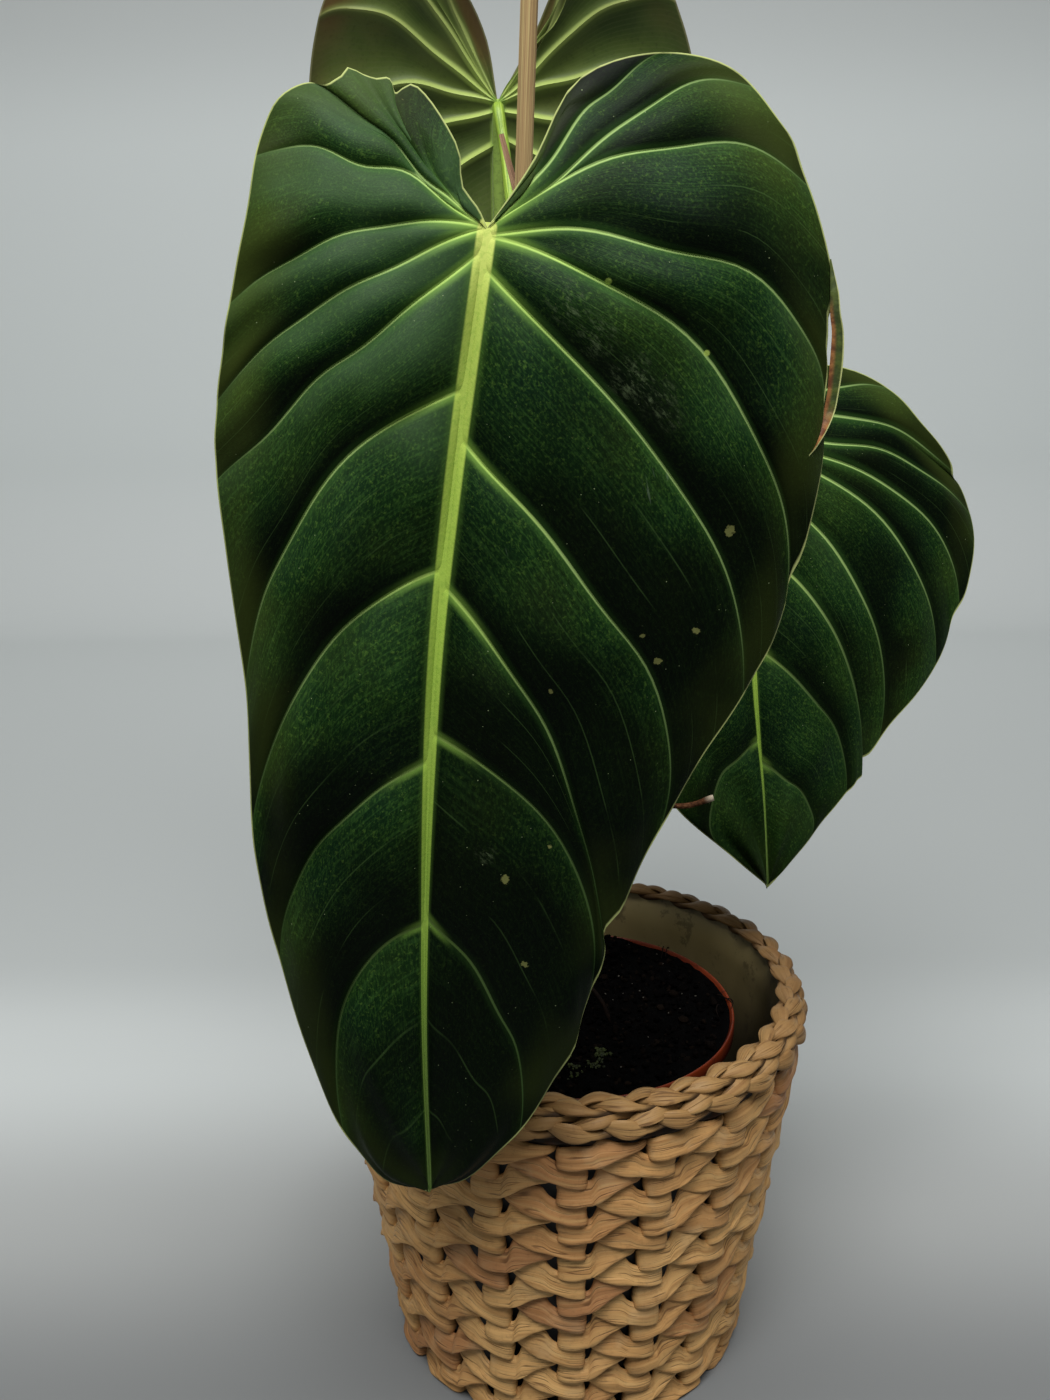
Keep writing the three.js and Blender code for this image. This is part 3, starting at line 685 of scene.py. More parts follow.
def strand_look(name, darker_with_far_painted_shade=False):
    """Dried water hyacinth: tan fibres that run along each strand, some browner than others, with painted
    shade that goes near black deep inside the wall. The rim's kind is darker and browner all round, with
    more painted shade towards the far side."""
    look = Look(name, Specular_IOR_Level=0.3)
    tone, fibre, run, inside = look.attributes("tone", "fibre", "run", "inside")

    def drawn(across, along, shift, detail):
        return look.drawn(look.times(fibre, across), look.times(run, along), shift, detail, 0.5)

    broad, folds, threads = drawn(2.2, 0.7, tone, 1), drawn(2.6, 0.6, 4.0, 0), drawn(9, 0.7, tone, 1)
    crease = look.step(look.math("ABSOLUTE", look.math("SUBTRACT", folds, 0.5)), 0.05, 0.005)
    crease = look.times(crease, look.step(drawn(2.0, 1.6, 9.0, 1), 0.44, 0.6))
    skin = look.lay(
        look.ramp(tone, (0, 216, 170, 108), (0.5, 206, 158, 98), (0.8, 194, 142, 88), (1, 176, 124, 80)),
        (broad, 0.5, 0.72, 0, 0.5, (160, 112, 64)),
        (broad, 0.48, 0.3, 0, 0.4, (210, 172, 112)),
        (threads, 0.52, 0.74, 0, 0.26, (134, 92, 52)),
        (threads, 0.46, 0.3, 0, 0.2, (214, 180, 124)),
        (look.times(crease, 0.62), (84, 52, 26)),
        (look.noise(34), 0.54, 0.72, 0, 0.3, (150, 98, 62)),
        (look.noise(90, 2), 0.56, 0.74, 0, 0.25, (206, 176, 132)),
        (look.noise(420, 3, 0.7), 0.5, 0.72, 0, 0.22, (112, 76, 44)),
        # Painted shade: near black where a strand lies deep inside the wall.
        (inside, 0.9, 3, 0, 0.97, (12, 8, 4)),
    )
    # The rim's kind: darker and browner all round, and darker still towards the far side as painted shade.
    if darker_with_far_painted_shade:
        skin = look.lay(skin, (look.axis(1), -0.075, 0.02, 0.48, 0.78, (78, 52, 24)))
    height = look.math("SUBTRACT", look.plus(look.times(threads, 0.35), broad), look.times(crease, 0.5))
    return look.finish(skin, look.step(broad, 0.3, 0.7, 0.5, 0.7), height, 0.5, 0.7)


def wire_look():
    look = Look("dark_wire", Metallic=0.7)
    rust = look.noise(160, 4)
    colour = look.ramp(rust, (0.45, 58, 52, 46), (0.65, 88, 58, 40))
    return look.finish(colour, look.step(rust, 0.3, 0.7, 0.4, 0.7), rust, 0.1)


def liner_look():
    """A clouded film with patchy dirt, and painted shade low down, at the front and on its outer side."""
    look = Look("clouded_film", Specular_IOR_Level=0.5, Coat_Weight=0.15, Coat_Roughness=0.3)
    haze, dirt = look.noise(20, 4), look.noise(90, 5, 0.7)
    colour = look.lay(
        look.ramp(haze, (0.35, 136, 121, 80), (0.65, 160, 144, 100)),
        (dirt, 0.56, 0.64, 0, 0.55, (66, 56, 34)),
        # Painted shade: darker low down, darker still at the front, and near black on the outer side.
        (look.axis(2), 0.138, 0.1, 0, 0.85, (44, 40, 32)),
        (look.axis(1), 0.042, 0, 0, 0.93, (18, 14, 8)),
        (*look.attributes("outer"), (12, 9, 6)),
    )
    return look.finish(colour, look.step(dirt, 0.3, 0.7, 0.3, 0.5), haze, 0.4, 0.4)


def pot_look():
    look = Look("terracotta_plastic", Specular_IOR_Level=0.25)
    scuffs = look.noise(240, 5, 0.7)
    colour = look.ramp(look.noise(40), (0.35, 96, 34, 14), (0.65, 120, 46, 18))
    colour = look.lay(colour, (scuffs, 0.54, 0.68, 0, 0.6, (44, 22, 12)))
    return look.finish(colour, look.step(scuffs, 0.3, 0.7, 0.36, 0.56), scuffs, 0.08, 0.5)


def soil_look():
    look = Look("peat", Specular_IOR_Level=0.03)
    crumbs, fine = look.noise(260, 5, 0.7), look.noise(1400)
    colour = look.ramp(crumbs, (0.35, 1, 1, 1), (0.62, 4, 3, 3), (0.8, 14, 11, 9))
    colour = look.lay(colour, (*look.attributes("tone"), (34, 25, 18)))
    return look.finish(colour, 0.9, look.plus(crumbs, fine), 0.8)


def perlite_look():
    look = Look("perlite", Specular_IOR_Level=0.3)
    grain = look.noise(900, 4)
    return look.finish(look.ramp(grain, (0.3, 58, 54, 48), (0.7, 98, 94, 84)), 0.85, grain, 0.3)


def moss_look():
    look = Look("moss", Specular_IOR_Level=0.3)
    grain = look.noise(500, 4)
    return look.finish(look.ramp(grain, (0.35, 16, 22, 5), (0.65, 50, 58, 18)), 0.8, grain, 0.3)


def wood_look():
    """Straight-grained split timber, pinkish tan, with fine dark lines along it."""
    look = Look("stake_wood", Specular_IOR_Level=0.3)
    fibre, run = look.attributes("fibre", "run")
    wide = look.drawn(look.times(fibre, 5), run, 0.0)
    fine = look.drawn(look.times(fibre, 21), run, 3.0, 3, 0.7)
    colour = look.ramp(wide, (0.34, 137, 110, 75), (0.52, 166, 139, 94), (0.68, 180, 160, 109))
    colour = look.lay(colour, (fine, 0.54, 0.68, 0, 0.6, (108, 80, 52)))
    return look.finish(colour, 0.62, look.plus(wide, fine), 0.25, 0.7)


def stem_look(name, dark, middle, pale, cork):
    """Fleshy green skin with pale streaks and corky patches."""
    look = Look(name, Specular_IOR_Level=0.4)
    fibre, run, worn = look.attributes("fibre", "run", "worn")
    streak, grain = look.drawn(look.times(fibre, 5), run, 1.0, 3, 0.6), look.noise(700, 3, 0.7)
    patch = look.times(look.step(look.noise(120, 4), 0.4, 0.62), worn, clamp=True)
    colour = look.ramp(streak, (0.36, *dark), (0.52, *middle), (0.68, *pale))
    colour = look.lay(colour, (grain, 0.52, 0.7, 0, 0.4, dark), (patch, cork))
    return look.finish(colour, look.step(patch, 0, 1, 0.42, 0.8), look.plus(grain, streak), 0.2, 0.7)


def scale_look():
    look = Look("dry_scale", Specular_IOR_Level=0.3)
    fibre, run = look.attributes("fibre", "run")
    lines = look.drawn(look.times(fibre, 9), run, 0.0, 4, 0.7)
    colour = look.ramp(lines, (0.34, 112, 72, 52), (0.5, 176, 138, 108), (0.68, 208, 176, 142))
    return look.finish(colour, 0.7, lines, 0.3)


def root_look():
    """Brown bark, nearly black down in the pot and pale where it is cut."""
    look = Look("root_skin", Specular_IOR_Level=0.08)
    bark = look.noise(500, 4, 0.7)
    colour = look.lay(
        look.ramp(bark, (0.34, 44, 26, 16), (0.52, 84, 52, 32), (0.7, 124, 86, 58)),
        (look.axis(2), 0.19, 0.15, 0, 0.96, (8, 5, 4)),
        (*look.attributes("worn"), (186, 172, 150)),
    )
    return look.finish(colour, 0.75, bark, 0.3)


def tie_look():
    look = Look("soft_tie", Specular_IOR_Level=0.4)
    grain = look.noise(600)
    return look.finish(look.ramp(grain, (0.35, 26, 48, 28), (0.65, 46, 74, 42)), 0.6, grain, 0.1)


def torn_look():
    """The dead strip of margin: brown where it tore, still olive along its pale outer edge."""
    look = Look("dead_margin", Specular_IOR_Level=0.4)
    across, run = look.attributes("fibre", "run")
    blotch = look.noise(420)
    torn = look.ramp(blotch, (0.4, 92, 52, 26), (0.6, 138, 92, 50))
    live = look.ramp(blotch, (0.4, 44, 56, 18), (0.6, 66, 78, 26))
    brown = look.math("MAXIMUM", look.where((across, 0, -0.7), (run, 0.16, 0.3)), look.step(run, 0.7, 0.84))
    return look.finish(look.lay(live, (brown, torn), (across, 0.7, 0.9, (168, 172, 112))), 0.5, blotch, 0.2)


# Leaves


class LeafFrame:
    def __init__(self, leaf):
        self.origin = np.array(leaf["petiole_end"], float)
        tip = np.array(leaf["tip"], float)
        self.length = float(np.linalg.norm(tip - self.origin))
        self.down = unit(tip - self.origin)
        yaw = math.radians(leaf["yaw_deg"])
        level = np.array([math.cos(yaw), math.sin(yaw), 0])
        self.across = unit(level - self.down * (level @ self.down))
        self.out = np.cross(self.down, self.across)
        self.shape = leaf["shape"]
        self.midrib = smooth(leaf["midrib"])

    def rib_at(self, v):
        """The midrib's u at a distance down the blade."""
        return np.interp(v, self.midrib[:, 1], self.midrib[:, 0])

    def height(self, u, v):
        s = self.shape
        off = np.abs(u - self.rib_at(v))
        valley = s["trough"] * (1 - np.exp(-off / s["trough_width"]))
        lobes = s["lobe_back"] * np.maximum(0, s["lobe_from"] - v) ** 2
        bow = s["bend"] * 4 * v * (self.length - v) / self.length**2
        return valley - s["droop"] * u * u - lobes + bow

    def world(self, u, v, w):
        """From the blade's own frame to the object's."""
        u, v, w = (np.asarray(x, float)[..., None] for x in (u, v, w))
        return self.origin + u * self.across + v * self.down + w * self.out


def rib_half(leaf, place, v):
    """Half the midrib's width at a distance down the blade."""
    share, taper = zip(*RIB_TAPER)
    return leaf["rib_width"] * np.interp(np.asarray(v) / place.length, share, taper)


def outline(half, shares):
    """Points of the margin with its nicks, and the margin's direction."""
    line = smooth(half["margin"])
    point = at_shares(line, shares, 2)
    step = 0.004
    after, before = (at_shares(line, np.clip(shares + shift, 0, 1), 2) for shift in (step, -step))
    ahead = unit(after - before)
    inward = np.stack([-ahead[:, 1], ahead[:, 0]], -1)
    if half["margin"][1][0] < 0:
        inward = -inward
    depth = sum(deep * bell(shares - share, reach) for share, deep, reach in half["nicks"])
    return point + inward * np.asarray(depth).reshape(-1, 1), ahead


def vein_grid(half, place, side, wobbles):
    """A grid over half a blade, each row a line from midrib to margin. Whole numbers of a row's
    phase are the veins. Gives the phases, how far each column is along its line, the grid's (u, v),
    the margin's points and its direction."""
    veins = np.array(half["veins"], float)
    knots = np.arange(len(veins) + 2)
    start = np.concatenate([[0], veins[:, 0], [place.length]])
    end = np.concatenate([[0], veins[:, 2], [1]])
    leave, arrive = (np.concatenate([veins[:1, k], veins[:, k], veins[-1:, k]]) for k in (1, 3))
    s = np.arange(BLADE["rows_per_vein"]) / BLADE["rows_per_vein"]
    s = s - BLADE["row_crowd"] * np.sin(2 * math.pi * s) / (2 * math.pi)
    phase = np.concatenate([(knots[:-1, None] + s).ravel(), [len(veins) + 1.0]])
    t = np.linspace(0, 1, BLADE["columns"])
    t = t - BLADE["column_crowd"] * np.sin(2 * math.pi * t) / (2 * math.pi)
    begin_v = np.interp(phase, knots, start)
    first = np.stack([place.rib_at(begin_v), begin_v], -1)
    last, ahead = outline(half, np.interp(phase, knots, end))
    out_angle = np.radians(np.interp(phase, knots, leave))
    turn = np.radians(np.interp(phase, knots, arrive)) * side
    pull = BLADE["pull"] * np.linalg.norm(last - first, axis=1)[:, None]
    leaving = np.stack([side * np.cos(out_angle), np.sin(out_angle)], -1)
    c, q = np.cos(turn), np.sin(turn)
    arriving = np.stack([ahead[:, 0] * c + ahead[:, 1] * q, -ahead[:, 0] * q + ahead[:, 1] * c], -1)
    a, b = first + leaving * pull, last - arriving * pull
    k = t[None, :, None]
    flat = (1 - k) ** 3 * first[:, None] + 3 * (1 - k) ** 2 * k * a[:, None]
    flat = flat + 3 * (1 - k) * k**2 * b[:, None] + k**3 * last[:, None]
    calm = (4 * k * (1 - k))[..., 0]
    for size, across, along, lag in wobbles:
        flat[..., 1] += size * calm * np.sin(across * phase[:, None] + along * t[None] + lag)
    return phase, t, flat, last, ahead


def half_blade(leaf, place, side, waves, wobbles):
    """The grid of half a blade, its height, and what its look needs to know there."""
    half = leaf["right" if side > 0 else "left"]
    phase, t, flat, last, ahead = vein_grid(half, place, side, wobbles)
    u, v = flat[..., 0], flat[..., 1]
    by_phase = np.stack([np.gradient(x, phase, axis=0) for x in (u, v)], -1)
    by_t = np.stack([np.gradient(x, t, axis=1) for x in (u, v)], -1)
    area = np.abs(by_phase[..., 0] * by_t[..., 1] - by_phase[..., 1] * by_t[..., 0])
    gap = area / np.maximum(np.linalg.norm(by_t, axis=-1), 1e-6)
    nearest = np.clip(np.round(phase), 1, len(half["veins"]))
    distance = np.abs(phase - nearest)[:, None] * gap
    fraction = (phase % 1)[:, None]
    reach = np.broadcast_to(t, u.shape)
    puff = (4 * fraction * (1 - fraction)) ** 0.85 * np.clip(gap / 20, 0, 1.2)
    puff = puff * (1 - np.exp(-reach / 0.07)) * (1 - reach**5)
    puff = puff * np.interp(phase, [0, 1, 2.5], [0.25, 0.55, 1])[:, None]
    wave = sum(size * np.sin(2 * math.pi * (cycles * phase + lag)) for size, cycles, lag in waves)
    uneven = 0
    for size, across, along, lag in wobbles:
        uneven = uneven + size * np.sin(across * phase[:, None] + along * reach + 2 * lag)
    height = place.height(u, v) + (half["quilt"] + 1.1 * uneven) * puff + wave[:, None] * reach**3
    edge_gap = np.linalg.norm(last[:, None] - flat, axis=-1)
    along_edge = np.abs(((last[:, None] - flat) * ahead[:, None]).sum(-1))
    edge = np.sqrt(np.maximum(edge_gap**2 - along_edge**2, 0))
    # Painted shade: darker from each vein towards the next and through the half's parts, as the light from
    # above falls on the quilted panels; it goes to the look as the slope attribute.
    painted_shade = half["painted_shade"]
    slope = fraction * (painted_shade["inner"] + (painted_shade["outer"] - painted_shade["inner"]) * reach)
    slope = slope + np.interp(v / place.length, [-0.12, 0.08, 0.5], painted_shade["down"])
    phase = np.broadcast_to(phase[:, None], u.shape)
    return SimpleNamespace(
        u=u, v=v, height=height, distance=distance, reach=reach, edge=edge, phase=phase, slope=slope
    )


def blade(name, leaf, looks, seed):
    """Both halves of a leaf, upper and lower side, closed at the margin and down the middle."""
    place = LeafFrame(leaf)
    rng = np.random.default_rng(seed)
    build = Build("vein", "rib", "reach", "edge", "row", "down", "slope", "across")
    for side in (1, -1):
        waves = [
            (rng.uniform(*sizes), rng.uniform(*cycles), rng.random())
            for sizes, cycles in (((0.5, 1.1), (0.35, 0.6)), ((0.2, 0.5), (1.1, 1.7)))
            for _ in range(2)
        ]
        ranges = (0.2, 0.6), (1, 5), (5, 18), (0, 6.3)
        wobbles = [[rng.uniform(*ends) for ends in ranges] for _ in range(6)]
        g = half_blade(leaf, place, side, waves, wobbles)
        rows, columns = g.u.shape
        vein_half = leaf["vein_width"] * (0.8 * (1 - g.reach) ** 0.7 + 0.2)
        off_rib = np.where(g.v > 0, np.abs(g.u - place.rib_at(g.v)), np.hypot(g.u, g.v))
        sunk = 0.22 * bell(g.distance, 0.8) * (1 - 0.7 * g.reach)
        ridge = (0.25 + leaf["vein_width"] * (1 - g.reach) ** 0.6) * bell(g.distance)
        thick = BLADE["thickness"] * (1 - 0.55 * g.reach ** 10)
        told = {
            "vein": g.distance / vein_half, "rib": off_rib / rib_half(leaf, place, g.v),
            "reach": g.reach, "edge": g.edge, "row": g.phase + 40 * (side < 0),
            # slope carries the painted shade of the panels to the look
            "down": g.v / place.length, "slope": g.slope,
            "across": g.u if name == "front" else NO_MARKS,
        }
        upper = place.world(g.u, g.v, g.height + thick / 2 - sunk)
        lower = place.world(g.u, g.v, g.height - thick / 2 - ridge)
        faces = grid_faces(rows, columns)
        build.add(upper, faces, 0, **told)
        build.add(lower, faces[:, ::-1], 1, **told)
        both = rows * columns
        base = build.count - 2 * both
        for column, look in ((columns - 1, 0), (0, 1)):
            top = np.arange(rows) * columns + column
            strip = np.stack([top[:-1], top[1:], top[1:] + both, top[:-1] + both], -1)
            build.faces += (strip + base).tolist()
            build.looks += [look] * len(strip)
    add_midrib(build, leaf, place)
    return build.make("leaf_" + name, looks, ["blade_" + name], sharp_deg=60, merge=True)


def add_midrib(build, leaf, place):
    """The thick rib down the middle: nearly flat above, a rounded keel below."""
    steps, sides = 120, 20
    begin, finish = -leaf["rib_width"] * 0.5, place.length - 1.5
    v = np.linspace(begin, finish, steps)
    half = rib_half(leaf, place, v)
    half = half * np.sqrt(np.clip((v - begin + 0.3) / leaf["rib_width"], 0.05, 1))
    x, y = np.cos(circle(sides)), np.sin(circle(sides))
    above = np.maximum(y, 0) ** 0.8 * (0.14 * half[:, None] + 0.12)
    below = np.minimum(y, 0) * (0.75 * half[:, None] + 0.35)
    u = place.rib_at(v)[:, None] + x * half[:, None]
    v_grid = np.broadcast_to(v[:, None], u.shape)
    w = place.height(place.rib_at(v), v)[:, None] + 0.2 + above + below
    told = {
        "vein": 9.0, "rib": np.abs(x) * 0.95 + 0 * u, "reach": 0.0, "edge": 20.0, "row": 0.5,
        # The midrib carries a fixed painted shade (slope) of 0.3
        "down": v_grid / place.length, "slope": 0.3, "across": NO_MARKS,
    }
    build.tube(place.world(u, v_grid, w), **told)
    under = np.where(np.roll(y, -1) + y < 0, 1, 0)
    marks = np.tile(under, steps - 1).tolist() + [0, 0]
    build.looks[-len(marks):] = marks


def torn_margin(look):
    """The dead strip that has come away from the front leaf's right margin and hooks over it."""
    place = LeafFrame(LEAVES["front"])
    line = at_shares(smooth(TORN), np.linspace(0, 1, 80), 2)
    s = np.linspace(0, 1, len(line))
    loose = np.clip((s - 0.75) / 0.25, 0, 1)
    w = place.height(line[:, 0], line[:, 1]) + 0.5 * np.clip(s * 6, 0.3, 1) + 0.5 * np.sin(math.pi * s)
    w = w + 2.2 * loose
    path = place.world(line[:, 0], line[:, 1], w)
    tangent = unit(np.gradient(path, axis=0))
    out = unit(place.out - tangent * (tangent @ place.out)[:, None])
    wide = np.cross(out, tangent)
    x = np.concatenate([np.linspace(-1, 1, 9), np.linspace(1, -1, 9)])
    thin = np.concatenate([np.full(9, 0.14), np.full(9, -0.14)])
    curl = 0.5 * s + 0.8 * loose
    c, q = np.cos(curl)[:, None], np.sin(curl)[:, None]
    across = line[:, 2:] * x[None]
    up = thin[None] + 0.22 * line[:, 2:] * x[None] ** 2
    build = Build("fibre", "run")
    rings = section(path, wide, out, across * c - up * q, across * q + up * c)
    build.tube(rings, fibre=x[None], run=s[:, None])
    return build.make("dead_margin_front", [look])


# Stem and what grows from it

stem_line = smooth(STEM["path"])


def stem_at(z):
    """The middle of the stem at a height."""
    return np.array([np.interp(z, stem_line[:, 2], stem_line[:, k]) for k in range(3)])


def stem_radius(z):
    low, high = STEM["path"][0][2], STEM["path"][-1][2]
    return STEM["radius"] * (1 - 0.1 * (z - low) / (high - low))


def beside_stem(z, side_deg, clearance):
    """A place off the stem's skin, at a height and a side."""
    r = stem_radius(z) + clearance
    side = math.radians(side_deg)
    return stem_at(z) + np.array([r * math.sin(side), -r * math.cos(side), 0])


def bumps(rng, steps, sides, size):
    """A random unevenness over a tube's skin."""
    waves = 6
    i = np.linspace(0, 1, steps)[:, None]
    a = circle(sides)[None]
    total = np.zeros((steps, sides))
    for _ in range(waves):
        total += rng.normal() * np.sin(rng.uniform(4, 40) * i + rng.integers(0, 4) * a + sway(rng))
    return 1 + size * total / math.sqrt(waves)


def skin(build, path, radius, rng, sides=20, rough=0.02, worn=0.0):
    rings = round_rings(path, np.asarray(radius).reshape(-1, 1) * bumps(rng, len(path), sides, rough), sides)
    fibre = np.arange(sides)[None] * 6.0 / sides
    build.tube(rings, fibre=fibre, run=lengths(path)[:, None] * 0.05, worn=np.asarray(worn).reshape(-1, 1))


def stem(look):
    rng = np.random.default_rng(11)
    steps = 200
    path = at_shares(stem_line, np.linspace(0, 1, steps))
    z = path[:, 2]
    swell = sum(bell(z - node, 4) for node in STEM["nodes"])
    scars = sum(bell(z - node - lift, 0.5) for node in STEM["nodes"] for lift in (3, 5))
    radius = stem_radius(z) * (1 + 0.07 * np.minimum(swell, 1) - 0.05 * scars)
    radius[-6:] *= np.sqrt(np.linspace(1, 0.1, 6))
    build = Build("fibre", "run", "worn")
    skin(build, path, radius, rng, 24, 0.015, np.clip(1.1 - (z - 120) / 130, 0.15, 1) + 0.5 * swell)
    return build.make("climbing_stem", [look], ["stem"])


def petiole(name, look):
    node, side, (foot, end), way = PETIOLES[name]
    place = LeafFrame(LEAVES[name])
    behind_blade = [place.world(0, end, place.height(0, end) - distance) for distance in (7.1, 1.1)]
    heel = beside_stem(node + 3 * foot, side, foot + 0.3)
    s = np.linspace(0, 1, 110)
    path = at_shares(smooth([beside_stem(node, side, foot), heel, *way, *behind_blade]), s)
    radius = foot + (end - foot) * s + 0.5 * bell(s, 0.06)
    radius = radius + 0.35 * bell(s - 0.955, 0.035)
    build = Build("fibre", "run", "worn")
    skin(build, path, radius, np.random.default_rng(len(name)), 20, 0.012, 0.5 * bell(s, 0.05))
    return build.make("leafstalk_" + name, [look], ["petiole_" + name])


def cataphyll(name, look, seed):
    """A dry bud scale: a thin creased strip, hollow towards the stem and twisted at its tip."""
    node, side_deg, width, way = CATAPHYLLS[name]
    rng = np.random.default_rng(seed)
    feet = beside_stem(node, side_deg, 0.9), beside_stem(node + 8, side_deg, 1.3)
    s = np.linspace(0, 1, 90)
    path = at_shares(smooth([*feet, *way]), s)
    side = math.radians(side_deg)
    outward = np.array([math.sin(side), -math.cos(side), 0])
    tangent = unit(np.gradient(path, axis=0))
    normal = unit(outward - tangent * (tangent @ outward)[:, None])
    sideways = np.cross(tangent, normal)
    half = width / 2 * (1 - 0.72 * s**2)
    x = np.linspace(-1, 1, 15)
    twist = 1.3 * s**3
    crease = 0.12 * np.sin(9 * x[None] + 3 * s[:, None]) + 0.1 * np.sin(17 * x[None] + rng.uniform(0, 6))
    lift = -0.32 * half[:, None] * (x**2)[None] + crease * (1 - np.abs(x) ** 3)[None]
    wide = half[:, None] * x[None] * (1 + 0.04 * np.sin(30 * s + 1)[:, None])
    c, q = np.cos(twist)[:, None], np.sin(twist)[:, None]
    thick = 0.18
    rings = []
    for shift, order in ((thick, slice(None)), (-thick, slice(None, None, -1))):
        h = lift + shift * (1 - 0.6 * x[None] ** 4)
        points = section(path, sideways, normal, wide * c - h * q, wide * q + h * c)
        rings.append(points[:, order])
    build = Build("fibre", "run")
    fibre = np.concatenate([x, x[::-1]])[None]
    build.tube(np.concatenate(rings, 1), fibre=fibre * 1.5, run=(s * 4)[:, None])
    return build.make("bud_scale_" + name, [look], ["cataphyll_" + name], sharp_deg=60)


def aerial_root(name, look, seed):
    node, side, size, way = ROOTS[name]
    rng = np.random.default_rng(seed)
    s = np.linspace(0, 1, 90)
    path = at_shares(smooth([beside_stem(node, side, size / 2 + 0.3), *way]), s)
    path[:, 2] += 0.35 * np.sin(19 * s) * (1 - s) * s * 2
    radius = size * (1 - 0.25 * s) * (1 + 0.35 * bell(s, 0.05))
    worn = np.zeros(90)
    if name == "cut":
        radius = radius * (1 + 0.35 * bell(s - 0.97, 0.04))
        worn = np.clip((s - 0.95) / 0.04, 0, 1)
    else:
        radius[-8:] *= np.linspace(1, 0.25, 8)
    build = Build("fibre", "run", "worn")
    skin(build, path, radius, rng, 14, 0.07, worn)
    return build.make("air_root_" + name, [look], ["aerial_root_" + name])


def stake(look):
    rng = np.random.default_rng(5)
    foot, top = np.array(STAKE["foot"], float), np.array(STAKE["top"], float)
    s = np.concatenate([np.linspace(0, 0.03, 10), np.linspace(0.035, 0.995, 90), [0.998, 1]])
    path = foot + (top - foot) * s[:, None]
    sides = 40
    angle = circle(sides)
    grooves = sum(0.012 * np.cos(n * angle + sway(rng)) for n in (3, 5, 9, 14, 19))
    reach = STAKE["radius"] * (1 + grooves)[None] * np.ones((len(s), 1))
    reach *= (1 + 0.01 * np.sin(9 * s + 1) + 0.008 * np.sin(23 * s))[:, None]
    reach *= np.clip(0.2 + 0.8 * s / 0.022, 0.2, 1)[:, None]
    reach[-1] *= 0.86
    build = Build("fibre", "run")
    rings = round_rings(path, reach, sides)
    build.tube(rings, fibre=(angle * 1.2)[None], run=(lengths(path) * 0.012)[:, None])
    return build.make("wooden_stake", [look], ["stake"])


def stake_at(z):
    foot, top = np.array(STAKE["foot"], float), np.array(STAKE["top"], float)
    return foot + (top - foot) * (z - foot[2]) / (top[2] - foot[2])


def tie(name, z, look):
    """A soft flat band round the stem and the stake, closed on itself."""
    a, b = stem_at(z)[:2], stake_at(z)[:2]
    along = unit(b - a)
    beside = np.array([-along[1], along[0]])
    around = []
    for centre, radius, start in ((a, stem_radius(z) + 0.8, 90), (b, STAKE["radius"] + 0.8, -90)):
        for degree in np.linspace(start, start + 180, 22):
            turn = math.radians(degree)
            around.append(centre + radius * (along * math.cos(turn) + beside * math.sin(turn)))
    path = np.column_stack([np.array(around), np.full(len(around), z)])
    path[:, 2] += 0.25 * np.sin(np.linspace(0, 4 * math.pi, len(path), endpoint=False))
    outward = unit(np.column_stack([path[:, :2] - (a + b) / 2, np.zeros(len(path))]))
    angle = circle(12)
    high = 1.5 * np.sign(np.sin(angle)) * np.abs(np.sin(angle)) ** 0.5
    thick = 0.45 * np.sign(np.cos(angle)) * np.abs(np.cos(angle)) ** 0.7
    rings = path[:, None] + outward[:, None] * thick[None, :, None] + UP * high[None, :, None]
    build = Build()
    build.tube(rings, closed=True)
    return build.make("soft_band_" + name, [look], ["tie_" + name])


# Basket


def strand_radius(z):
    return BASKET["foot_radius"] + BASKET["slope"] * z


# The way of one strand round its own upright, seen from outside: distance to the right of the
# upright, distance below the row's upper hole, how far out of the wall, half its width, and lean
# (how much further out its upper edge is than its middle).
STRAND_WAY = [
    (-26.0, 5.5, -5.2, 2.0, 0.0),
    (-21.4, 5.2, -4.6, 1.6, 0.0),
    (-18.8, 5.0, -2.4, 2.4, -0.3),
    (-16.2, 5.6, -1.2, 3.4, -0.6),
    (-13.4, 5.1, -0.3, 4.8, -1.0),
    (-10.6, 4.8, 0.3, 5.6, -1.4),
    (-8.6, 5.3, 0.6, 5.4, -1.3),
    (-6.6, 7.1, 0.8, 4.2, -1.2),
    (-4.4, 8.3, 0.9, 3.9, -1.0),
    (-1.2, 9.5, 0.9, 4.3, -0.7),
    (1.8, 9.8, 0.9, 4.6, -0.6),
    (4.0, 10.0, 0.5, 4.8, -0.4),
    (4.5, 10.9, -1.4, 4.9, 0.0),
    (3.4, 9.0, -4.2, 3.8, 0.0),
    (0.0, 6.4, -5.2, 3.4, 0.0),
    (-3.4, 3.2, -4.2, 3.6, 0.0),
    (-3.9, 2.5, -1.4, 4.4, 0.0),
    (-3.5, 1.4, 0.2, 4.3, -0.6),
    (-1.4, 1.2, 0.8, 4.6, -0.8),
    (1.4, 1.1, 0.9, 4.6, -1.0),
    (4.6, 0.8, 0.8, 4.2, -1.0),
    (6.2, 0.5, 0.7, 4.3, -1.1),
    (7.3, -1.4, 0.6, 5.4, -1.4),
    (8.4, -2.9, 0.5, 6.1, -1.5),
    (10.6, -3.6, 0.4, 5.2, -1.3),
    (13.3, -4.0, 0.3, 3.6, -0.8),
    (16.8, -4.4, -0.2, 2.4, -0.4),
    (19.5, -3.5, -1.5, 1.8, -0.1),
    (22.0, -4.2, -4.4, 1.6, 0.0),
    (26.0, -4.2, -5.2, 2.0, 0.0),
]


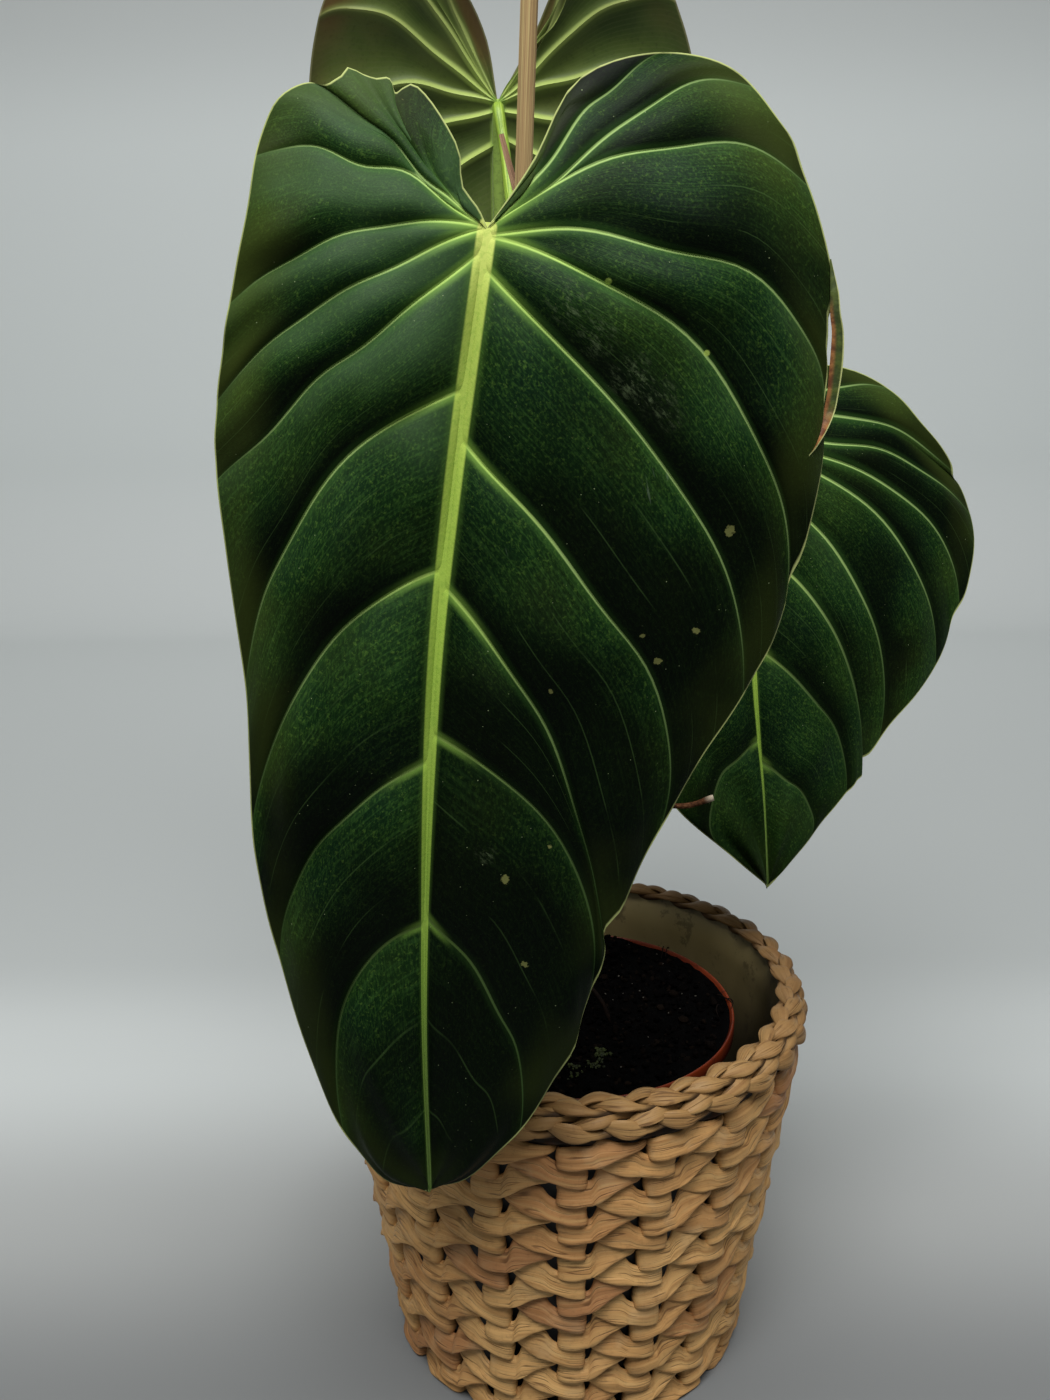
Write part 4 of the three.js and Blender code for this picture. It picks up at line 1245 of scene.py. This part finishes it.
def crumple(rng, x, run):
    """Lengthwise folds of a dried strand."""
    total = np.zeros((len(run), len(x)))
    for _ in range(3):
        cycles = rng.uniform(1.5, 4.0)
        drift = rng.normal() * 0.03
        total += 0.6 * rng.normal() * np.sin(cycles * x[None] + drift * run[:, None] + sway(rng))
    for side in (-0.4, 0.35):
        middle = side + rng.uniform(-0.25, 0.25) + rng.normal() * 0.006 * (run[:, None] - run.mean())
        total -= rng.uniform(0.4, 2) * bell(x[None] - middle, 0.15)
    return total


def flat_strand(build, rng, centre, wide, out, half, lean, area=6.6, folds=0.2, back=3):
    """A flat soft strand through its centre points. wide and out are its directions across."""
    x_front = np.sin(np.linspace(-math.pi / 2, math.pi / 2, 13))
    x_back = np.linspace(1, -1, back + 2)[1:-1]
    run = lengths(centre)
    thick = np.clip(area / half, 1.0, 2.4)[:, None]
    dome = (1 - np.abs(x_front) ** 4) ** 0.5
    folded = folds * crumple(rng, x_front, run) * (dome * np.minimum(half / 4, 1.3)[:, None])
    face = 0.62 * thick * dome[None] + folded
    rear = -0.38 * thick * ((1 - np.abs(x_back) ** 4) ** 0.5)[None]
    x = np.concatenate([x_front, x_back])
    rise = np.concatenate([face, rear], 1) + lean[:, None] * x[None]
    rings = section(centre, wide, out, half[:, None] * x[None], rise)
    tone = rng.random()
    # How deep inside the wall's face each point lies, for the painted shade of the strand look.
    inside = strand_radius(rings[..., 2]) - np.hypot(rings[..., 0], rings[..., 1])
    fibre, run = x * (0.6 + 0.11 * half[:, None]) + 10 * tone, (run * 0.05 + 7 * tone)[:, None]
    build.tube(rings, tone=tone, fibre=fibre, run=run, inside=inside)


def on_wall(angle_deg, s, z, depth):
    """From distance to the right of a direction, height and depth to a point of the wall."""
    r = strand_radius(z)
    angle = math.radians(angle_deg) + s / r
    return np.stack([(r + depth) * np.sin(angle), -(r + depth) * np.cos(angle), z], -1)


def within_wall(z):
    """Squeezes the first and the last row into the wall's height."""
    low, high = WALL_SOFT["low"], WALL_SOFT["high"]
    top = BASKET["height"] - high
    z = np.where(z < low, low * np.exp((z - low) / low), z)
    return np.where(z > high, BASKET["height"] - top * np.exp(-(z - high) / top), z)


def weave_row(number, look):
    rng = np.random.default_rng(100 + number)
    hole_z = WEAVE["top_hole"] - WEAVE["row_pitch"] * number
    build = Build("tone", "fibre", "run", "inside")
    for i in range(BASKET["uprights"]):
        angle = BASKET["first_upright_deg"] + 360 * i / BASKET["uprights"]
        s, below, depth, half, lean = smooth(STRAND_WAY, WEAVE["steps_per_span"]).T
        pitch = 2 * math.pi * strand_radius(hole_z) / BASKET["uprights"]
        stretch = (pitch - WEAVE["turn"]) / (WEAVE["cell"] - WEAVE["turn"])
        beyond = np.sign(s) * (WEAVE["turn"] + (np.abs(s) - WEAVE["turn"]) * stretch)
        s = np.where(np.abs(s) > WEAVE["turn"], beyond, s)
        share = np.linspace(0, 1, len(s))
        drift = rng.normal(0, 0.5) + 0.5 * np.sin(2 * math.pi * share * rng.uniform(0.6, 1.5) + sway(rng))
        half = half * rng.uniform(0.93, 1.07) * (1 + 0.05 * np.sin(7 * share + sway(rng)))
        z = within_wall(hole_z - below + drift)
        depth = depth + 0.35 * np.sin(5 * share + sway(rng))
        centre = on_wall(angle, s, z, depth)
        wide = np.broadcast_to(UP, centre.shape)
        out = unit(np.cross(np.gradient(centre, axis=0), wide))
        squeeze = np.clip(np.minimum(z, BASKET["height"] + 3 - z) / 6, 0.35, 1)
        flat_strand(build, rng, centre, wide, out, half * squeeze, lean)
    return build.make(f"weave_row_{number + 1}", [look], ["basket_weave"], sharp_deg=50)


def plaited_rim(look):
    """Two plaits of three strands each: one on top of the rim and one round its outside."""
    rng = np.random.default_rng(31)
    build = Build("tone", "fibre", "run", "inside")
    steps = 600
    turn = circle(steps)
    outward = np.stack([np.sin(turn), -np.cos(turn), 0 * turn], -1)
    for plait in PLAITS:
        lean = math.radians(plait["lean_deg"])
        for k in range(3):
            phase = plait["waves"] * turn + 2 * math.pi * k / 3
            high = plait["wide"] * np.sin(phase) + 0.25 * np.sin(5 * turn + 2 * k)
            deep = PLAIT_DEEP * np.sin(2 * phase)
            r = plait["radius"] + high * math.sin(lean) + deep * math.cos(lean)
            z = plait["z"] + high * math.cos(lean) - deep * math.sin(lean)
            centre = np.stack([r * np.sin(turn), -r * np.cos(turn), z], -1)
            tangent = unit(np.roll(centre, -1, 0) - np.roll(centre, 1, 0))
            face = outward * math.cos(lean) - UP * math.sin(lean)
            out = unit(face - tangent * (face * tangent).sum(-1)[:, None])
            wide = np.cross(out, tangent)
            tilt = 0.5 * np.cos(phase)[:, None]
            out, wide = out * np.cos(tilt) + wide * np.sin(tilt), wide * np.cos(tilt) - out * np.sin(tilt)
            swell = 0.55 + 0.65 * np.maximum(0, np.sin(2 * phase)) + 0.06 * np.sin(7 * turn + 3 * k)
            ring_strand(build, rng, centre, wide, out, plait["half"] * swell, 1.6 - 1.4 * deep)
    return build.make("plaited_rim", [look], ["basket_braid"], sharp_deg=50)


def ring_strand(build, rng, centre, wide, out, half, behind):
    """A plump strand on a closed ring, creased along its length."""
    sides = 16
    angle, turn = circle(sides), circle(len(centre))
    x, y = np.cos(angle), np.sin(angle)
    creases = np.ones((len(centre), sides))
    for _ in range(5):
        ripples = np.sin(rng.integers(2, 7) * angle[None] + rng.integers(1, 7) * turn[:, None] + sway(rng))
        creases += rng.normal() * 0.025 * ripples
    bulge = 1 + 0.06 * np.sin(11 * turn + sway(rng))
    across = half[:, None] * x[None] * creases
    up = (PLAIT_THICK * bulge)[:, None] * (np.sign(y) * np.abs(y) ** 0.85)[None] * creases
    rings = section(centre, wide, out, across, up)
    tone = rng.random()
    run = lengths(centre)
    fibre = x * (0.5 + 0.1 * half[:, None]) + 10 * tone
    run = (np.abs(run - run[-1] / 2) * 0.05 + 7 * tone)[:, None]
    # inside is how far behind the plait's face a point lies, for the painted shade of the strand look.
    build.tube(rings, closed=True, tone=tone, fibre=fibre, run=run, inside=behind[:, None] - up)


def base_mat(look):
    """The flat base: one strand coiled outwards from its middle."""
    rng = np.random.default_rng(51)
    build = Build("tone", "fibre", "run", "inside")
    pitch = BASE["radius"] / BASE["pitches"]
    angle = np.linspace(0.6, 2 * math.pi * BASE["turns"], 560)
    r = pitch * angle / (2 * math.pi)
    centre = np.stack([r * np.cos(angle), r * np.sin(angle), np.full(len(r), BASE["thickness"] / 2)], -1)
    tangent = unit(np.gradient(centre, axis=0))
    out = np.broadcast_to(UP, centre.shape)
    half = np.full(len(r), pitch * 0.52)
    flat_strand(build, rng, centre, np.cross(out, tangent), out, half, 0 * r, area=14, folds=0.12, back=7)
    return build.make("base_mat", [look], ["basket_base"], sharp_deg=50)


def liner(look):
    """A thin film bag inside the basket, a little creased."""
    rng = np.random.default_rng(61)
    segments = 180
    floor, top, inset, film = (LINER[key] for key in ("floor", "top", "inset", "thickness"))
    outer = [(r, floor) for r in np.linspace(0.5, strand_radius(floor) - inset, 12)]
    rise = np.linspace(floor + 2, top, 34)
    flare = LINER["flare"] * np.clip((rise - LINER["flare_from"]) / (top - LINER["flare_from"]), 0, 1) ** 1.5
    outer += [(strand_radius(min(z, LINER["bend"])) - inset + out, z) for z, out in zip(rise, flare)]
    inner = [(max(r - film, 0.5), max(z, floor + film)) for r, z in outer[::-1]]
    rings = turned_rings(outer + inner, segments)
    angle = circle(segments)
    high = (rings[..., 2] - floor) / (top - floor)
    creases = np.zeros(rings.shape[:2])
    for _ in range(9):
        size, cycles = rng.normal(), rng.integers(3, 21)
        creases += size * np.sin(cycles * angle[None] + rng.uniform(-5, 5) * high + sway(rng))
    inward = 0.1 * np.abs(creases) * np.clip(high * 4, 0, 1)
    rings[..., :2] *= (1 - inward / np.maximum(np.hypot(rings[..., 0], rings[..., 1]), 5))[..., None]
    build = Build("outer")
    # outer marks the film's outer side, which its look paints near black as shade.
    build.tube(rings, outer=np.repeat([1, 0], [len(outer), len(inner)])[:, None])
    return build.make("liner_film", [look], ["basket_liner"], sharp_deg=60)


def pot_radius(z):
    rise = (z - POT["foot_z"]) / POT["height"]
    return POT["foot_radius"] + (POT["rim_radius"] - POT["lip"] - POT["foot_radius"]) * rise


def pot_inside(z):
    """The inner radius of the pot, which widens a little more in its lip."""
    lip = POT["foot_z"] + POT["height"] - POT["lip_drop"]
    share = max(0, z - lip) / POT["lip_drop"]
    return pot_radius(min(z, lip)) + (POT["rim_radius"] - pot_radius(lip)) * share - POT["wall"]


def nursery_pot(look):
    """A thin tapered plastic pot with a deeper lip and drain holes in its floor."""
    rim, foot = POT["foot_z"] + POT["height"], POT["foot_z"]
    lip = rim - POT["lip_drop"]
    wall, radius = POT["wall"], POT["rim_radius"]
    profile = [(0.4, foot), (POT["foot_radius"] - 1.5, foot), (POT["foot_radius"], foot + 1.5)]
    profile += [(pot_radius(z), z) for z in np.linspace(foot + 3, lip - 0.5, 20)]
    profile += [(radius - 0.3, lip), (radius, lip + 0.4), (radius, rim - 0.6), (radius - 0.25, rim - 0.1)]
    profile += [(radius - 0.5, rim), (radius - 0.85, rim - 0.15), (radius - 1, rim - 0.6)]
    profile += [(pot_inside(z), z) for z in np.linspace(rim - 1.5, foot + 3, 24)]
    profile += [(POT["foot_radius"] - wall - 1, foot + wall), (0.4, foot + wall)]
    build = Build()
    build.tube(turned_rings(profile, 150, POT["x"]))
    piece = build.make("plastic_pot", [look], ["nursery_pot"], sharp_deg=50)
    cutters = Build()
    for k in range(DRAIN["holes"]):
        angle = 2 * math.pi * k / DRAIN["holes"]
        rings = turned_rings([(DRAIN["radius"], foot - 2), (DRAIN["radius"], foot + 3)], 24)
        rings[..., 0] += POT["x"] + DRAIN["ring_radius"] * math.cos(angle)
        rings[..., 1] += DRAIN["ring_radius"] * math.sin(angle)
        cutters.tube(rings)
    drill = bpy.data.meshes.new("drill")
    drill.from_pydata((np.vstack(cutters.points) * MM).tolist(), [], cutters.faces)
    tool = bpy.data.objects.new("drill", drill)
    bpy.context.scene.collection.objects.link(tool)
    cut = piece.modifiers.new("holes", "BOOLEAN")
    cut.operation, cut.object, cut.solver = "DIFFERENCE", tool, "EXACT"
    evaluated = piece.evaluated_get(bpy.context.evaluated_depsgraph_get())
    mesh = bpy.data.meshes.new_from_object(evaluated)
    piece.modifiers.clear()
    piece.data = mesh
    bpy.data.objects.remove(tool)
    return piece


# Soil


def lump(rng, size):
    """A small rough crumb of about that radius, a little flat."""
    count, rings = 7, 5
    points = [(0, 0, 1)]
    for i in range(1, rings):
        tilt = math.pi * i / rings
        for turn in circle(count):
            points.append((math.sin(tilt) * math.cos(turn), math.sin(tilt) * math.sin(turn), math.cos(tilt)))
    points.append((0, 0, -1))
    points = np.array(points) * rng.uniform(0.65, 1.3, (len(points), 1)) * size
    points = points * np.array([1, rng.uniform(0.6, 1), 0.8])
    last = len(points) - 1
    faces = [(0, 1 + j, 1 + (j + 1) % count) for j in range(count)]
    for i in range(rings - 2):
        a, b = 1 + i * count, 1 + (i + 1) * count
        faces += [(a + j, b + j, b + (j + 1) % count, a + (j + 1) % count) for j in range(count)]
    a = 1 + (rings - 2) * count
    faces += [(last, a + (j + 1) % count, a + j) for j in range(count)]
    turn = rng.uniform(0, 2 * math.pi)
    c, s = math.cos(turn), math.sin(turn)
    spun = points @ np.array([[c, s, 0], [-s, c, 0], [0, 0, 1]])
    return spun, faces


def soil_height(x, y):
    """The height of the soil's rough top over a place in the pot."""
    share = np.hypot(x - POT["x"], y) / 58
    dome = SOIL["edge_z"] + (SOIL["crown_z"] - SOIL["edge_z"]) * (1 - np.clip(share, 0, 1) ** 2)
    rough = 0.9 * np.sin(0.31 * x + 1.3) * np.sin(0.27 * y + 0.4)
    rough = rough + 0.6 * np.sin(0.8 * x + 2) * np.sin(0.7 * y)
    rough = rough + 0.35 * np.sin(1.9 * x + 0.6 * y) * np.sin(1.7 * y - 0.5 * x)
    heap = 3.5 * bell(np.hypot(x - 17, y - 47), 9)
    return dome + heap + rough * np.clip((1 - share) * 8, 0.2, 1) - 0.4


def soil(look):
    rng = np.random.default_rng(71)
    segments = 110
    radii = np.linspace(0.5, pot_inside(SOIL["edge_z"]) - SOIL["gap"], 46)
    rings = turned_rings([(r, 0) for r in radii], segments, POT["x"])
    rings[..., 2] = soil_height(rings[..., 0], rings[..., 1]) + rng.normal(0, 0.28, rings.shape[:2])
    side = [(pot_inside(z) - SOIL["gap"], z) for z in np.linspace(SOIL["edge_z"] - 4, SOIL["floor"], 8)]
    side.append((0.5, SOIL["floor"]))
    build = Build("tone")
    build.tube(np.concatenate([rings, turned_rings(side, segments, POT["x"])]))
    for _ in range(SOIL["crumbs"]):
        r, angle = 55.5 * math.sqrt(rng.random()), rng.uniform(0, 2 * math.pi)
        x, y = POT["x"] + r * math.cos(angle), r * math.sin(angle)
        size = rng.uniform(0.5, 1.5) * (1.6 if rng.random() < 0.08 else 1)
        points, faces = lump(rng, size)
        build.add(points + [x, y, soil_height(x, y) + 0.3 * size], faces, tone=0.5 * rng.random() ** 4)
    return build.make("soil_bed", [look], ["potting_soil"], sharp_deg=60)


def scattered(name, look, seed, count, sizes, spots):
    """Small lumps on the soil, loosely round a few spots."""
    rng = np.random.default_rng(seed)
    build = Build()
    for _ in range(count):
        x0, y0, spread = spots[rng.integers(len(spots))]
        x, y = rng.normal(x0, spread), rng.normal(y0, spread)
        if math.hypot(x - POT["x"], y) > 54:
            continue
        points, faces = lump(rng, rng.uniform(*sizes))
        build.add(points + [x, y, soil_height(x, y) + 1], faces)
    return build.make(name, [look], sharp_deg=60)


def rootlets(look):
    """Hair-thin dead roots that lie over the soil and the pot's rim."""
    build = Build("fibre", "run", "worn")
    for number, way in enumerate(ROOTLETS):
        path = smooth(way, 10)
        taper = 1 - 0.7 * np.linspace(0, 1, len(path)) ** 2
        skin(build, path, 0.28 * taper, np.random.default_rng(400 + number), 8, 0.08)
    return build.make("rootlets", [look])


# Room


def backdrop():
    """A pale floor that turns up into a wall, so far back that the other views stand before it."""
    look = Look("pale_sweep", Specular_IOR_Level=0.2)
    back, high = look.axis(1), look.axis(2)
    # Painted light and shade: the sweep is darker towards the front, brighter far back and on the low wall,
    # and a little darker higher up, in place of the light's own fall-off.
    colour = look.lay(
        rgb(117, 119, 119),
        (back, -0.06, 0.06, (159, 161, 160)),
        (back, 0.04, 0.17, (193, 197, 196)),
        (back, 0.2, 0.29, (179, 183, 182)),
        (back, 0.3, 0.96, (206, 210, 209)),
        (high, 0.02, 0.22, (213, 218, 217)),
        (high, 0.45, 0.62, (190, 194, 193)),
    )
    front, turn_y, radius, height, width = -1400, 930, 150, 1900, 3200
    profile = [(front, 0)]
    for turn in np.linspace(0, math.pi / 2, 24):
        profile.append((turn_y + radius * math.sin(turn), radius - radius * math.cos(turn)))
    profile.append((turn_y + radius, height))
    points = [(x, y, z) for x in (-width / 2, width / 2) for y, z in profile]
    mesh = bpy.data.meshes.new("backdrop")
    count = len(profile)
    faces = [(k, count + k, count + k + 1, k + 1) for k in range(count - 1)]
    mesh.from_pydata((np.array(points, float) * MM).tolist(), [], faces)
    mesh.materials.append(look.finish(colour, 0.75))
    mesh.shade_smooth()
    piece = bpy.data.objects.new("backdrop", mesh)
    bpy.context.scene.collection.objects.link(piece)


def key_light():
    """A large soft light overhead and in front, turned to the leaves."""
    data = bpy.data.lights.new("key", "AREA")
    data.shape, data.size, data.size_y = "RECTANGLE", *KEY_LIGHT["size"]
    data.energy = KEY_LIGHT["watts"]
    back = unit(np.subtract(KEY_LIGHT["place"], KEY_LIGHT["target"]))
    side = unit(np.cross([0.0, 1.0, 0.1], back))
    return placed("key", data, side, np.cross(back, side), back, KEY_LIGHT["place"])


def daylight():
    world = bpy.data.worlds.new("soft")
    world.use_nodes = True
    world.node_tree.nodes["Background"].inputs[0].default_value = (0.9, 0.95, 0.95, 1)
    world.node_tree.nodes["Background"].inputs[1].default_value = 0.14
    bpy.context.scene.world = world


add_camera()

upper, under = velvet_look(), underside_look()
for number, (name, leaf) in enumerate(LEAVES.items()):
    blade(name, leaf, [upper, under], 200 + number)
torn_margin(torn_look())

green = stem_look("stem_skin", (58, 78, 34), (84, 104, 46), (118, 134, 70), (112, 88, 58))
bright = stem_look("petiole_skin", (96, 128, 40), (136, 164, 58), (168, 190, 84), (140, 128, 70))
stem(green)
for name in PETIOLES:
    petiole(name, bright)
papery, bark = scale_look(), root_look()
for number, name in enumerate(CATAPHYLLS):
    cataphyll(name, papery, 300 + number)
for number, name in enumerate(ROOTS):
    aerial_root(name, bark, 320 + number)
stake(wood_look())
band = tie_look()
for name, z in TIES.items():
    tie(name, z, band)

strand = strand_look("water_hyacinth")
for number in range(WEAVE["rows"]):
    weave_row(number, strand)
plaited_rim(strand_look("rim_hyacinth_painted_shade", True))
base_mat(strand)
liner(liner_look())
nursery_pot(pot_look())
soil(soil_look())
scattered("perlite", perlite_look(), 81, **PERLITE)
scattered("moss", moss_look(), 91, **MOSS)
rootlets(bark)
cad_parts["wire_frame"].data.materials.clear()
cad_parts["wire_frame"].data.materials.append(wire_look())

backdrop()
key_light()
daylight()
bpy.context.scene.view_settings.view_transform = "Standard"
